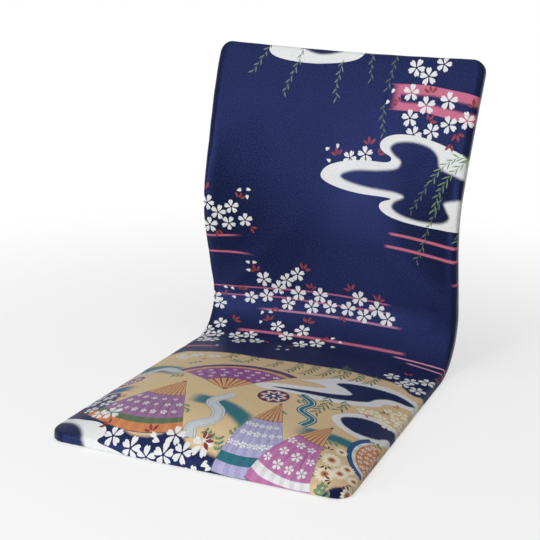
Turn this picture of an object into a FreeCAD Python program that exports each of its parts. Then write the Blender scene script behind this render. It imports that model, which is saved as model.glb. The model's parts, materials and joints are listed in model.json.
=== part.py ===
"""A legless tatami chair: seat and back are one bent sheet of layered wood, padded with foam.

A printed cloth goes over the foam and round the wood's edge, and a plain cloth closes the rear.
Sizes are in millimetres. +Z is up, the sitter faces -Y, and the chair rests on z = 0.
"""
import FreeCAD
import Part
import math
import os
from FreeCAD import Vector

# Side profile, on the rear face of the wood, from the front edge of the seat to the top edge
SEAT_RUN = 388.0
BEND_RADIUS = 68.5
BEND_TURN = 105.5
LOWER_BACK_RUN = 77.0
LUMBAR_RADIUS = 175.0
LUMBAR_TURN = 34.0
UPPER_BACK_RUN = 66.0
CREST_RADIUS = 806.0
CREST_TURN = 8.0

# Widths of the wood at the front edge, at the rear of the seat, at the lumbar and at the top
FRONT_WIDTH = 398.0
SEAT_REAR_WIDTH = 372.0
WAIST_WIDTH = 382.0
TOP_WIDTH = 395.0
FRONT_CORNER_RADIUS = 23.0
TOP_CORNER_RADIUS = 18.0

# How far the middle of the back lies behind its side edges
LUMBAR_DISH = 30.0
TOP_DISH = 13.0

# Layered wood
PLY_COUNT = 7
PLY_THICKNESS = 1.1
GLUE_LINE = 0.1

# Foam: its height over the wood, and where the seat's crown falls to the back's thin foam
SEAT_LOFT = 35.0
SEAT_RIM_FOAM = 1.2
BACK_LOFT = 6.5
BACK_RIM_FOAM = 4.5
FRONT_ROLL_LENGTH = 110.0
FRONT_FULLNESS = 3.4
SEAT_FALL_START = 150.0
SEAT_FALL_PAST_BEND = 42.0
FOAM_JOINT_PAST_BEND = 20.0
FOAM_JOINT_GAP = 0.3
EDGE_ROLL_SHARE = 0.8
END_ROLL_SHARE = 0.8

# Cloth
LAYER_CLEARANCE = 0.3
COVER_THICKNESS = 0.6
HEM_WIDTH = 26.0
REAR_CLOTH_THICKNESS = 0.6
REAR_CLOTH_INSET = 9.0
REAR_CLOTH_CORNER_RADIUS = 16.0

# Staples
STAPLE_CROWN = 11.0
STAPLE_LEG = 4.6
STAPLE_WIRE_WIDTH = 1.2
STAPLE_WIRE_DEPTH = 0.6
STAPLE_PITCH = 42.0
COVER_STAPLE_INSET = 20.0
REAR_STAPLE_INSET = 13.5

# Sections along the profile, and the dish below which a section counts as flat
FLAT_DISH = 0.01
CORNER_STEPS = 4
CORNER_ZONE = 46.0
LINE_STEP = 30.0
ARC_STEP_TURN = 4.0
ARC_STEP_LENGTH = 16.0
BEND_LEAD_INS = (18.0, 9.0)

# Values that follow from the sizes above
SHELL = PLY_COUNT * PLY_THICKNESS + (PLY_COUNT - 1) * GLUE_LINE
COVER_INNER = LAYER_CLEARANCE
COVER_OUTER = COVER_INNER + COVER_THICKNESS
REAR_CLOTH_TOP = -(COVER_OUTER + LAYER_CLEARANCE)
REAR_CLOTH_UNDER = REAR_CLOTH_TOP - REAR_CLOTH_THICKNESS
BEND_LENGTH = BEND_RADIUS * math.radians(BEND_TURN)
LUMBAR_LENGTH = LUMBAR_RADIUS * math.radians(LUMBAR_TURN)
CREST_LENGTH = CREST_RADIUS * math.radians(CREST_TURN)
BEND_END = SEAT_RUN + BEND_LENGTH
LUMBAR_START = BEND_END + LOWER_BACK_RUN
LUMBAR_APEX = LUMBAR_START + LUMBAR_LENGTH / 2
TOTAL_RUN = LUMBAR_START + LUMBAR_LENGTH + UPPER_BACK_RUN + CREST_LENGTH
FOAM_JOINT = SEAT_RUN + FOAM_JOINT_PAST_BEND

# Stretches of the profile: length and curvature, positive where it turns up
STRETCHES = (
    (SEAT_RUN, 0.0),
    (BEND_LENGTH, 1 / BEND_RADIUS),
    (LOWER_BACK_RUN, 0.0),
    (LUMBAR_LENGTH, -1 / LUMBAR_RADIUS),
    (UPPER_BACK_RUN, 0.0),
    (CREST_LENGTH, -1 / CREST_RADIUS),
)


def ease(value, start, end):
    """Go from 0 at start to 1 at end, with no slope at either."""
    t = min(max((value - start) / (end - start), 0.0), 1.0)
    return t * t * (3 - 2 * t)


def profile(s):
    """The profile's point (y, z) and heading, in radians, at the run s from the front edge."""
    y, z, heading = 0.0, 0.0, 0.0
    last = len(STRETCHES) - 1
    for index, (length, curvature) in enumerate(STRETCHES):
        step = s if index == last else min(s, length)
        turned = heading + curvature * step
        if curvature:
            y += (math.sin(turned) - math.sin(heading)) / curvature
            z += (math.cos(heading) - math.cos(turned)) / curvature
        else:
            y += step * math.cos(heading)
            z += step * math.sin(heading)
        heading = turned
        s -= step
        if s <= 0:
            break
    return y, z, heading


def side(s):
    """Half the wood's width at the run s, before its corners are rounded."""
    if s <= SEAT_RUN:
        width = FRONT_WIDTH + (SEAT_REAR_WIDTH - FRONT_WIDTH) * s / SEAT_RUN
    elif s <= LUMBAR_APEX:
        width = SEAT_REAR_WIDTH + (WAIST_WIDTH - SEAT_REAR_WIDTH) * ease(s, SEAT_RUN, LUMBAR_APEX)
    else:
        width = WAIST_WIDTH + (TOP_WIDTH - WAIST_WIDTH) * ease(s, LUMBAR_APEX, TOTAL_RUN)
    return width / 2


def dish(s):
    """How far the middle of the sheet lies behind its side edges at the run s."""
    if s <= LUMBAR_APEX:
        return LUMBAR_DISH * ease(s, SEAT_RUN, LUMBAR_APEX)
    return LUMBAR_DISH + (TOP_DISH - LUMBAR_DISH) * ease(s, LUMBAR_APEX, TOTAL_RUN)


def foam_rim(s):
    """Height of the foam over the wood at the side edges."""
    return SEAT_RIM_FOAM + (BACK_RIM_FOAM - SEAT_RIM_FOAM) * ease(s, SEAT_RUN, BEND_END)


def foam_middle(s):
    """Height of the foam over the wood along the middle: a crown on the seat, even on the back."""
    to_full = min(max(s / FRONT_ROLL_LENGTH, 0.0), 1.0)
    crown = SEAT_RIM_FOAM + (SEAT_LOFT - SEAT_RIM_FOAM) * (1 - (1 - to_full) ** FRONT_FULLNESS)
    return crown + (BACK_LOFT - crown) * ease(s, SEAT_FALL_START, SEAT_RUN + SEAT_FALL_PAST_BEND)


def quarter_drop(past_end, radius):
    """How far a quarter circle of this radius still lies inside its square corner."""
    if past_end >= radius:
        return 0.0
    return radius - math.sqrt(max(radius ** 2 - (radius - past_end) ** 2, 0.0))


def rim_level(level, middle_dish, half_width):
    """Height over the side edges' chord of a layer that runs at one distance from the rear face."""
    if middle_dish < FLAT_DISH:
        return level - middle_dish
    radius = (half_width ** 2 + middle_dish ** 2) / (2 * middle_dish)
    return radius - middle_dish - math.sqrt((radius - level) ** 2 - half_width ** 2)


def level_at(x, half_width, middle, rim):
    """Height at x of an even bow from its height in the middle to that at the half width."""
    return middle + (rim - middle) * (x / half_width) ** 2


def bowed(first, middle, last):
    """Control points of an even bow from first to last that passes through middle."""
    return [first, middle * 2 - (first + last) / 2, last]


def strip(rows, runs):
    """A smooth surface whose control points stand in rows, one row per section."""
    columns = [list(column) for column in zip(*rows)]
    across = len(columns) - 1
    inner = [sum(runs[index:index + 3]) / 3 for index in range(1, len(runs) - 3)]
    surface = Part.BSplineSurface()
    surface.buildFromPolesMultsKnots(
        columns, [across + 1, across + 1], [4] + [1] * len(inner) + [4],
        [0.0, 1.0], [runs[0], *inner, runs[-1]], False, False, across, 3,
    )
    return surface


def stretch(surface, first_run, last_run):
    """The part of a strip between two runs."""
    piece = surface.copy()
    piece.segment(0.0, 1.0, first_run, last_run)
    return piece


def end_face(section):
    """The flat face that closes the solid at one of its end sections."""
    edges = []
    for controls in section:
        curve = Part.BezierCurve()
        curve.setPoles(controls)
        edges.append(curve.toShape())
    return Part.Face(Part.Wire(edges))


def sewn(faces):
    """The closed solid inside these faces."""
    shell = Part.makeShell(faces)
    shell.sewShape()
    solid = Part.makeSolid(shell)
    if solid.Volume < 0:
        solid.reverse()
    return solid


def solid_through(sections, runs):
    """A closed solid through sections, each a ring of edges given by their control points."""
    faces = [strip(rows, runs).toShape() for rows in zip(*sections)]
    return sewn([*faces, end_face(sections[0]), end_face(sections[-1])])


class Sheet:
    """The outline of one layer on the bent sheet: how far it lies inside the wood's edge."""

    def __init__(self, inset, front_corner, top_corner):
        self.inset = inset
        self.front_corner = front_corner
        self.top_corner = top_corner
        self.start = inset
        self.end = TOTAL_RUN - inset

    def half_width(self, s):
        """Half width at the run s, with the corners rounded."""
        drop = quarter_drop(s - self.start, self.front_corner)
        drop += quarter_drop(self.end - s, self.top_corner)
        return side(s) - self.inset - drop

    def stations(self):
        """Runs at which the layer's sections stand."""
        runs = corner_runs(self.start, self.front_corner, 1)
        runs += corner_runs(self.end, self.top_corner, -1)
        runs += [s for s in middle_runs() if CORNER_ZONE < s < TOTAL_RUN - CORNER_ZONE]
        return sorted(runs)


def corner_runs(end, radius, direction):
    """Runs round a corner of this radius, closer together towards the end of the sheet."""
    turns = [math.pi / 2 * step / CORNER_STEPS for step in range(CORNER_STEPS + 1)]
    return [end + direction * radius * (1 - math.cos(turn)) for turn in turns]


def middle_runs():
    """Runs along the whole profile, closer together where it bends."""
    runs = [SEAT_RUN - lead for lead in BEND_LEAD_INS]
    start = 0.0
    for length, curvature in STRETCHES:
        reach = LINE_STEP
        if curvature:
            reach = min(ARC_STEP_LENGTH, math.radians(ARC_STEP_TURN) / abs(curvature))
        steps = math.ceil(length / reach)
        runs += [start + length * step / steps for step in range(1, steps + 1)]
        start += length
    return sorted(runs)


def place(s, x, level):
    """The point at the run s, x from the middle, and at this height over the edges' chord."""
    y, z, heading = profile(s)
    return Vector(x, y - level * math.sin(heading) + SHIFT_Y, z + level * math.cos(heading) + SHIFT_Z)


def sheet_section(s, outline, low, high):
    """One closed section of a layer of even thickness between the levels low and high."""
    w = outline.half_width(s)
    under, over = [
        (on_sheet(s, -w, level), on_sheet(s, 0, level), on_sheet(s, w, level))
        for level in (low, high)
    ]
    return [
        bowed(*under),
        [under[2], over[2]],
        bowed(over[2], over[1], over[0]),
        [over[0], under[0]],
    ]


def padded_section(s, outline, low, grow):
    """One closed section from the level low up to the foam's crown, grown outwards by grow."""
    w = outline.half_width(s)
    roll = (foam_rim(s) - LAYER_CLEARANCE) * EDGE_ROLL_SHARE + grow
    drop = quarter_drop(s - outline.start, roll) + quarter_drop(outline.end - s, roll)
    drop = min(drop, roll * END_ROLL_SHARE)
    base = SHELL + grow
    middle = base + foam_middle(s) - dish(s)
    rim = rim_level(base + foam_rim(s), dish(s), side(s))
    rim = level_at(w, side(s), middle, rim) - drop
    shoulder = rim - roll + drop
    under = (on_sheet(s, -w, low), on_sheet(s, 0, low), on_sheet(s, w, low))
    right, left = [
        (place(s, sign * w, shoulder), place(s, sign * w, rim), place(s, sign * (w - roll), rim))
        for sign in (1, -1)
    ]
    return [
        bowed(*under),
        [under[2], right[0]],
        list(right),
        bowed(right[2], place(s, 0, middle - drop), left[2]),
        [left[2], left[1], left[0]],
        [left[0], under[0]],
    ]


def sheet_layer(outline, low, high):
    """A layer of even thickness between two levels."""
    runs = outline.stations()
    return solid_through([sheet_section(s, outline, low, high) for s in runs], runs)


def grown_outline(grow):
    """The wood's outline, grown outwards on all sides."""
    return Sheet(-grow, FRONT_CORNER_RADIUS + grow, TOP_CORNER_RADIUS + grow)


def ply(number):
    """One sheet of wood, counted from the rear."""
    low = number * (PLY_THICKNESS + GLUE_LINE)
    return sheet_layer(grown_outline(0.0), low, low + PLY_THICKNESS)


def foam(first_run, last_run):
    """The stretch of the pad between two runs; it is rolled only where the wood itself ends."""
    wood = grown_outline(0.0)
    runs = [first_run, *[s for s in wood.stations() if first_run < s < last_run], last_run]
    low = SHELL + LAYER_CLEARANCE
    return solid_through([padded_section(s, wood, low, 0.0) for s in runs], runs)


def skin(grow):
    """One face set of the printed cloth, open at the rear window, and that window's edges."""
    outline = grown_outline(grow)
    wood = grown_outline(0.0)
    runs = outline.stations()
    sections = []
    for s in runs:
        section = padded_section(s, outline, -grow, grow)
        window = wood.half_width(s) - HEM_WIDTH
        sections.append([*hem_edges(s, outline.half_width(s), window, -grow), *section[1:]])
    surfaces = [strip(rows, runs) for rows in zip(*sections)]
    left_hem, middle, right_hem = surfaces[:3]
    first, last = HEM_WIDTH, TOTAL_RUN - HEM_WIDTH
    front_hem = stretch(middle, runs[0], first)
    top_hem = stretch(middle, last, runs[-1])
    faces = [surface.toShape() for surface in (left_hem, right_hem, front_hem, top_hem, *surfaces[3:])]
    faces += [end_face(sections[0]), end_face(sections[-1])]
    window = stretch(middle, first, last)
    edges = [window.uIso(0.0), window.uIso(1.0), window.vIso(first), window.vIso(last)]
    return faces, [edge.toShape() for edge in edges]


def hem_edges(s, half_width, window, level):
    """The rear of the printed cloth at one section: hem, middle and hem."""
    edges = []
    for start, end in ((-half_width, -window), (-window, window), (window, half_width)):
        points = [on_sheet(s, x, level) for x in (start, (start + end) / 2, end)]
        edges.append(bowed(*points))
    return edges


def front_cover():
    """The printed cloth: over the foam, round the wood's edge and hemmed on the rear."""
    outer_faces, outer_window = skin(COVER_OUTER)
    inner_faces, inner_window = skin(COVER_INNER)
    walls = [Part.makeRuledSurface(*pair) for pair in zip(outer_window, inner_window)]
    return sewn([*outer_faces, *inner_faces, *walls])


def rear_cloth():
    """The plain cloth on the rear, with a flat face under the seat to rest on."""
    outline = Sheet(REAR_CLOTH_INSET, REAR_CLOTH_CORNER_RADIUS, REAR_CLOTH_CORNER_RADIUS)
    runs = outline.stations()
    sections = [sheet_section(s, outline, REAR_CLOTH_UNDER, REAR_CLOTH_TOP) for s in runs]
    under, *others = [strip(rows, runs) for rows in zip(*sections)]
    flat_end = SEAT_RUN - BEND_LEAD_INS[0]
    rest = stretch(under, runs[0], flat_end)
    curves = (rest.vIso(runs[0]), rest.uIso(1.0), rest.vIso(flat_end), rest.uIso(0.0))
    flat = Part.Face(Part.Wire(Part.__sortEdges__([curve.toShape() for curve in curves])))
    faces = [flat, stretch(under, flat_end, runs[-1]).toShape()]
    faces += [surface.toShape() for surface in others]
    return sewn([*faces, end_face(sections[0]), end_face(sections[-1])])


def staple(s, x, along, level):
    """One staple with its crown's outer face at this level, and its legs in the wood."""
    half = STAPLE_CROWN / 2
    edge = -STAPLE_WIRE_WIDTH / 2
    solid = Part.makeBox(STAPLE_CROWN, STAPLE_WIRE_WIDTH, STAPLE_WIRE_DEPTH, Vector(-half, edge, 0))
    for start in (-half, half - STAPLE_WIRE_DEPTH):
        leg = Part.makeBox(STAPLE_WIRE_DEPTH, STAPLE_WIRE_WIDTH, STAPLE_LEG, Vector(start, edge, 0))
        solid = solid.fuse(leg)
    solid = solid.removeSplitter()
    solid.Placement = sheet_frame(s, x, along, level)
    return solid


def sheet_frame(s, x, along, level):
    """Placement on the rear face: X along the edge, Z into the wood."""
    ahead, behind = on_sheet(s + 1, x, level), on_sheet(s - 1, x, level)
    right, left = on_sheet(s, x + 1, level), on_sheet(s, x - 1, level)
    down_run = (ahead - behind).normalize()
    across = (right - left).normalize()
    inward = across.cross(down_run).normalize()
    edge = down_run if along else across
    side_way = inward.cross(edge)
    origin = on_sheet(s, x, level)
    matrix = FreeCAD.Matrix(
        edge.x, side_way.x, inward.x, origin.x,
        edge.y, side_way.y, inward.y, origin.y,
        edge.z, side_way.z, inward.z, origin.z,
        0, 0, 0, 1,
    )
    return FreeCAD.Placement(matrix)


def on_sheet(s, x, level):
    """The point on a layer at one distance from the rear face."""
    rim = rim_level(level, dish(s), side(s))
    return place(s, x, level_at(x, side(s), level - dish(s), rim))


def staple_ring(inset, corner, level):
    """Staples all round, at one distance inside the wood's edge."""
    staples = []
    run = TOTAL_RUN - 2 * (inset + corner)
    count = round(run / STAPLE_PITCH)
    for index in range(count + 1):
        s = inset + corner + run * index / count
        for sign in (-1, 1):
            staples.append(staple(s, sign * (side(s) - inset), True, level))
    for s in (inset, TOTAL_RUN - inset):
        reach = side(s) - inset - corner
        count = round(2 * reach / STAPLE_PITCH)
        for index in range(count + 1):
            staples.append(staple(s, -reach + 2 * reach * index / count, False, level))
    return Part.Compound(staples)


def build():
    """Every piece under its own name."""
    pieces = {f"shell_ply_{number + 1}": ply(number) for number in range(PLY_COUNT)}
    pieces["seat_foam"] = foam(0.0, FOAM_JOINT)
    pieces["back_foam"] = foam(FOAM_JOINT + FOAM_JOINT_GAP, TOTAL_RUN)
    pieces["front_cover"] = front_cover()
    pieces["cover_staples"] = staple_ring(COVER_STAPLE_INSET, FRONT_CORNER_RADIUS, -COVER_OUTER)
    pieces["rear_cloth"] = rear_cloth()
    pieces["rear_staples"] = staple_ring(REAR_STAPLE_INSET, FRONT_CORNER_RADIUS, REAR_CLOTH_UNDER)
    return pieces


def depth_shift():
    """The move along Y that puts the middle of the chair's depth at 0."""
    y, _, heading = profile(TOTAL_RUN + COVER_OUTER)
    rearmost = y + (COVER_OUTER + TOP_DISH) * math.sin(heading)
    return -(rearmost - COVER_OUTER) / 2


SHIFT_Y = depth_shift()
SHIFT_Z = -REAR_CLOTH_UNDER

os.makedirs("parts", exist_ok=True)
for name, shape in build().items():
    shape.exportStep(f"parts/{name}.step")
    print(name, "valid", shape.isValid(), "solids", len(shape.Solids), "volume", round(shape.Volume))
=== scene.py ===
"""The looks of a legless tatami chair: printed satin over foam and one bent sheet of layered wood.

Sizes are in millimetres and become metres when a mesh is made. The cloth has its own coordinates:
x across from the middle line, and run along the side profile from the seat's front edge to the top
edge of the back. The print is drawn in them, and the same functions lay cloth, foam and print.
"""
import json
import logging
import math
from dataclasses import dataclass, field
from enum import Enum
from typing import Iterator, Protocol, Sequence

import bpy
import numpy as np
from bpy.types import Material, Node, NodeSocket, Object, World
from mathutils import Matrix, Vector, noise
from mathutils.geometry import delaunay_2d_cdt

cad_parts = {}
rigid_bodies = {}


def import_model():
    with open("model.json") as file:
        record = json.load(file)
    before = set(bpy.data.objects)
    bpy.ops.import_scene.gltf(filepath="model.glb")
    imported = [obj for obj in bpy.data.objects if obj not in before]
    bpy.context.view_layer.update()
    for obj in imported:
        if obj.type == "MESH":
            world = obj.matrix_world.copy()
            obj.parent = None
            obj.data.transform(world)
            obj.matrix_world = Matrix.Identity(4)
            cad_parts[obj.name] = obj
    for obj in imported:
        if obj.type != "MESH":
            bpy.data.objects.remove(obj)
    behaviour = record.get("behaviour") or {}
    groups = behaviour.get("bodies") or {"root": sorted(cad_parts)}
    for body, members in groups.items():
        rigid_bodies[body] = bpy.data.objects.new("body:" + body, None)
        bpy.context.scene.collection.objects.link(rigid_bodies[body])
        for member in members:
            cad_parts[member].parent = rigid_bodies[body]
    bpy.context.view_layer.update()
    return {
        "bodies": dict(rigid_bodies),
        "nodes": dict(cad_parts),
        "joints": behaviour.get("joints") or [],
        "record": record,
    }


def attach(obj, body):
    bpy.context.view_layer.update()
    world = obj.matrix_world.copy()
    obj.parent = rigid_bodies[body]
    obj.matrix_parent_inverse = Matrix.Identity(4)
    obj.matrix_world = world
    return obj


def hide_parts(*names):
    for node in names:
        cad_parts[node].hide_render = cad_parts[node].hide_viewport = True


LOG = logging.getLogger("tatami_chair")
METRES = 0.001
MAP_ORIGIN = (0.25, 0.06)

Points = np.ndarray
Values = np.ndarray
Place = tuple[float, float]
Places = Sequence[Place]
Rim = list[tuple[Place, Place]]
Aimed = tuple[float, ...]
Colour = tuple[float, float, float]


# The bent sheet

def smoothstep(value: Values) -> Values:
    """Go smoothly from 0 to 1 as the value does."""
    t = np.clip(value, 0.0, 1.0)
    return t * t * (3 - 2 * t)


def ease(value: Values, start: float, end: float) -> Values:
    """Go from 0 at start to 1 at end, with no slope at either."""
    return smoothstep((np.asarray(value, float) - start) / (end - start))


@dataclass
class BentSheet:
    """The bent sheet of layered wood, measured on its rear face."""

    seat_run: float = 388.0
    bend_radius: float = 68.5
    bend_turn: float = 105.5
    lower_back_run: float = 77.0
    lumbar_radius: float = 175.0
    lumbar_turn: float = 34.0
    upper_back_run: float = 66.0
    crest_radius: float = 806.0
    crest_turn: float = 8.0
    front_width: float = 398.0
    seat_rear_width: float = 372.0
    waist_width: float = 382.0
    top_width: float = 395.0
    front_corner: float = 23.0
    top_corner: float = 18.0
    lumbar_dish: float = 30.0
    top_dish: float = 13.0
    thickness: float = 8.3
    rest_height: float = 1.8
    margin: float = 60.0
    step: float = 0.5

    def __post_init__(self) -> None:
        """Work out where each stretch ends, and measure the profile at even steps."""
        bend = self.bend_radius * math.radians(self.bend_turn)
        lumbar = self.lumbar_radius * math.radians(self.lumbar_turn)
        crest = self.crest_radius * math.radians(self.crest_turn)
        self.bend_end = self.seat_run + bend
        self.lumbar_apex = self.bend_end + self.lower_back_run + lumbar / 2
        self.stretches = (
            (self.seat_run, 0.0),
            (bend, 1 / self.bend_radius),
            (self.lower_back_run, 0.0),
            (lumbar, -1 / self.lumbar_radius),
            (self.upper_back_run, 0.0),
            (crest, -1 / self.crest_radius),
        )
        self.total = sum(length for length, _ in self.stretches)
        self.runs = np.arange(-self.margin, self.total + self.margin, self.step)
        self.profile = np.array([self.profile_at(run) for run in self.runs])
        outer = 0.9
        y, _, heading = self.profile_at(self.total + outer)
        rearmost = y + (outer + self.top_dish) * math.sin(heading)
        self.shift = -(rearmost - outer) / 2

    def profile_at(self, run: float) -> tuple[float, float, float]:
        """Return y, z and heading of the profile at one run.

        Args:
            run: distance from the front edge.

        Returns:
            The three, before the chair is set in its frame.
        """
        y, z, heading = 0.0, 0.0, 0.0
        last = len(self.stretches) - 1
        for index, (length, curvature) in enumerate(self.stretches):
            step = run if index == last else min(run, length)
            turned = heading + curvature * step
            if curvature:
                y += (math.sin(turned) - math.sin(heading)) / curvature
                z += (math.cos(heading) - math.cos(turned)) / curvature
            else:
                y += step * math.cos(heading)
                z += step * math.sin(heading)
            heading = turned
            run -= step
            if run <= 0:
                break
        return y, z, heading

    def side(self, run: Values) -> Values:
        """Half the wood's width before its corners are rounded.

        Args:
            run: distances along the profile.

        Returns:
            One half width for each run.
        """
        run = np.clip(run, 0.0, self.total)
        seat = self.front_width + (self.seat_rear_width - self.front_width) * run / self.seat_run
        waist = self.waist_width - self.seat_rear_width
        lower = self.seat_rear_width + waist * ease(run, self.seat_run, self.lumbar_apex)
        spread = (self.top_width - self.waist_width) * ease(run, self.lumbar_apex, self.total)
        return np.where(run <= self.seat_run, seat, lower + spread) / 2

    def over_bend(self, run: Values, seat: float, back: float) -> Values:
        """Go from the seat's value to the back's over the bend."""
        return seat + (back - seat) * ease(run, self.seat_run, self.bend_end)

    def dish(self, run: Values) -> Values:
        """How far the middle of the sheet lies behind its side edges."""
        deepest = self.lumbar_dish * ease(run, self.seat_run, self.lumbar_apex)
        return deepest + (self.top_dish - self.lumbar_dish) * ease(run, self.lumbar_apex, self.total)

    def rim_level(self, level: Values, run: Values) -> Values:
        """Height over the side edges' chord of a layer at one distance from the rear face.

        Args:
            level: distances from the rear face.
            run: distances along the profile.

        Returns:
            One height for each run.
        """
        depth = np.maximum(self.dish(run), 0.01)
        half = self.side(run)
        radius = (half ** 2 + depth ** 2) / (2 * depth)
        return radius - depth - np.sqrt((radius - level) ** 2 - half ** 2)

    def level_on(self, x: Values, run: Values, level: float) -> Values:
        """Height over the chord, at x, of a layer at one distance from the rear face."""
        middle = level - self.dish(run)
        return middle + (self.rim_level(level, run) - middle) * (x / self.side(run)) ** 2

    def place(self, x: Values, run: Values, level: Values) -> Points:
        """Points at a height over the side edges' chord.

        Args:
            x: distances from the middle line.
            run: distances along the profile.
            level: heights over the chord, towards the sitter.

        Returns:
            One row of x, y and z for each point, in millimetres in the chair's frame.
        """
        y = np.interp(run, self.runs, self.profile[:, 0])
        z = np.interp(run, self.runs, self.profile[:, 1])
        heading = np.interp(run, self.runs, self.profile[:, 2])
        back = y - level * np.sin(heading) + self.shift
        up = z + level * np.cos(heading) + self.rest_height
        return np.column_stack([x, back, up])


@dataclass
class Padding:
    """The foam's height over the wood, and how it rounds over at the edges."""

    sheet: BentSheet
    seat_loft: float = 35.0
    seat_rim: float = 1.2
    back_loft: float = 6.5
    back_rim: float = 4.5
    front_roll: float = 110.0
    front_fullness: float = 3.4
    fall_start: float = 150.0
    fall_end: float = 430.0
    fullness: float = 3.0
    seat_edge_radius: float = 2.3
    back_edge_radius: float = 4.1
    side_drop: float = 2.4
    side_reach: float = 15.0
    side_fade: float = 80.0

    def rim(self, run: Values) -> Values:
        """Height of the foam over the wood at the side edges."""
        return self.sheet.over_bend(run, self.seat_rim, self.back_rim)

    def middle(self, run: Values) -> Values:
        """Height of the foam over the wood along the middle line.

        Args:
            run: distances along the profile.

        Returns:
            One height for each run.
        """
        filled = 1 - (1 - np.clip(np.asarray(run) / self.front_roll, 0.0, 1.0)) ** self.front_fullness
        crown = self.seat_rim + (self.seat_loft - self.seat_rim) * filled
        return crown + (self.back_loft - crown) * ease(run, self.fall_start, self.fall_end)

    def edge_radius(self, run: Values) -> Values:
        """Radius of the rounded edge."""
        return self.sheet.over_bend(run, self.seat_edge_radius, self.back_edge_radius)

    def level(self, x: Values, run: Values, grow: float) -> Values:
        """Height over the chord of the foam's face, or of a layer this far over it.

        Args:
            x: distances from the middle line.
            run: distances along the profile.
            grow: how far the layer lies over the foam's face.

        Returns:
            One height for each point.
        """
        base = self.sheet.thickness + grow
        middle = self.middle(run)
        rim = self.sheet.rim_level(base + self.rim(run), run) - self.sheet.rim_level(base, run)
        side = self.sheet.side(run)
        share = np.abs(x / side) ** self.fullness
        near_edge = np.clip((np.abs(x) - side) / self.side_reach + 1, 0.0, 1.0) ** 2
        bend_end = self.sheet.bend_end
        drop = self.side_drop * near_edge * ease(run, bend_end, bend_end + self.side_fade)
        return self.sheet.level_on(x, run, base) + middle + (rim - middle) * share - drop


@dataclass
class Outline:
    """A rounded outline on the sheet, grown outwards from the wood's own edge."""

    sheet: BentSheet
    grow: float
    front_corner: float
    top_corner: float
    spacing: float = 4.6
    corner_step: float = 4.0

    def split(self, points: Points) -> tuple[Values, Points]:
        """Measure how far points lie outside the outline, and which way is out.

        Args:
            points: rows of x and run.

        Returns:
            The distances, negative inside, and one outward direction for each point.
        """
        x, run = points[:, 0], points[:, 1]
        sign = np.where(x < 0, -1.0, 1.0)
        front = run < self.sheet.total / 2
        corner = np.where(front, self.front_corner, self.top_corner)
        across = np.abs(x) - (self.sheet.side(run) + self.grow - corner)
        start, end = -self.grow, self.sheet.total + self.grow
        along = np.where(front, start + corner - run, run - (end - corner))
        ahead = np.where(front, -1.0, 1.0)
        rounded = (across > 0) & (along > 0)
        reach = np.maximum(np.hypot(across, along), 1e-9)
        distance = np.where(rounded, reach, np.maximum(across, along)) - corner
        sideways = np.where(rounded, across / reach, (across >= along).astype(float))
        lengthways = np.where(rounded, along / reach, (across < along).astype(float))
        return distance, np.column_stack([sign * sideways, ahead * lengthways])

    def loop(self) -> tuple[Points, Points]:
        """Go round the outline counter-clockwise.

        Returns:
            Rows of x and run, and one outward direction for each.
        """
        start, end = -self.grow, self.sheet.total + self.grow
        right = self.long_side(start + self.front_corner, end - self.top_corner)
        left = [((-x, run), (-1.0, 0.0)) for (x, run), _ in reversed(right)]
        places = [*right, *self.corner(end, self.top_corner, 1, 1)]
        places += self.end_edge(end, self.top_corner, 1)
        places += [*reversed(self.corner(end, self.top_corner, -1, 1)), *left]
        places += self.corner(start, self.front_corner, -1, -1)
        places += self.end_edge(start, self.front_corner, -1)
        places += reversed(self.corner(start, self.front_corner, 1, -1))
        return np.array([place for place, _ in places]), np.array([out for _, out in places])

    def even(self, start: float, end: float) -> Values:
        """Evenly spaced values from start to end."""
        return np.linspace(start, end, max(2, round(abs(end - start) / self.spacing)))

    def long_side(self, start: float, end: float) -> Rim:
        """The right side of the outline, from the front to the top."""
        runs = self.even(start, end)
        return [((float(self.sheet.side(run)) + self.grow, run), (1.0, 0.0)) for run in runs]

    def end_edge(self, run: float, corner: float, ahead: int) -> Rim:
        """The straight part of the front edge, from the left, or of the top edge, from the right."""
        half = float(self.sheet.side(run)) + self.grow - corner
        return [((x, run), (0.0, float(ahead))) for x in self.even(half, -half)[1:-1] * ahead]

    def corner(self, end: float, radius: float, sign: int, ahead: int) -> Rim:
        """One rounded corner, from its side to the end edge.

        Args:
            end: run of the end edge.
            radius: the corner's radius.
            sign: 1 on the right and -1 on the left.
            ahead: 1 at the top and -1 at the front.

        Returns:
            Pairs of a place and its outward direction.
        """
        count = round(90 / self.corner_step)
        places = []
        for angle in np.radians(np.arange(1, count + 1) * 90 / count):
            out = (sign * math.cos(angle), ahead * math.sin(angle))
            run = end - ahead * radius * (1 - math.sin(angle))
            centre = float(self.sheet.side(run)) + self.grow - radius
            places.append(((sign * (centre + radius * math.cos(angle)), run), out))
        return places


def on_corner(out: Points) -> Values:
    """Whether each outward direction is that of a rounded corner, and not of a straight edge."""
    return (np.abs(out) > 0.001).all(1)


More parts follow.
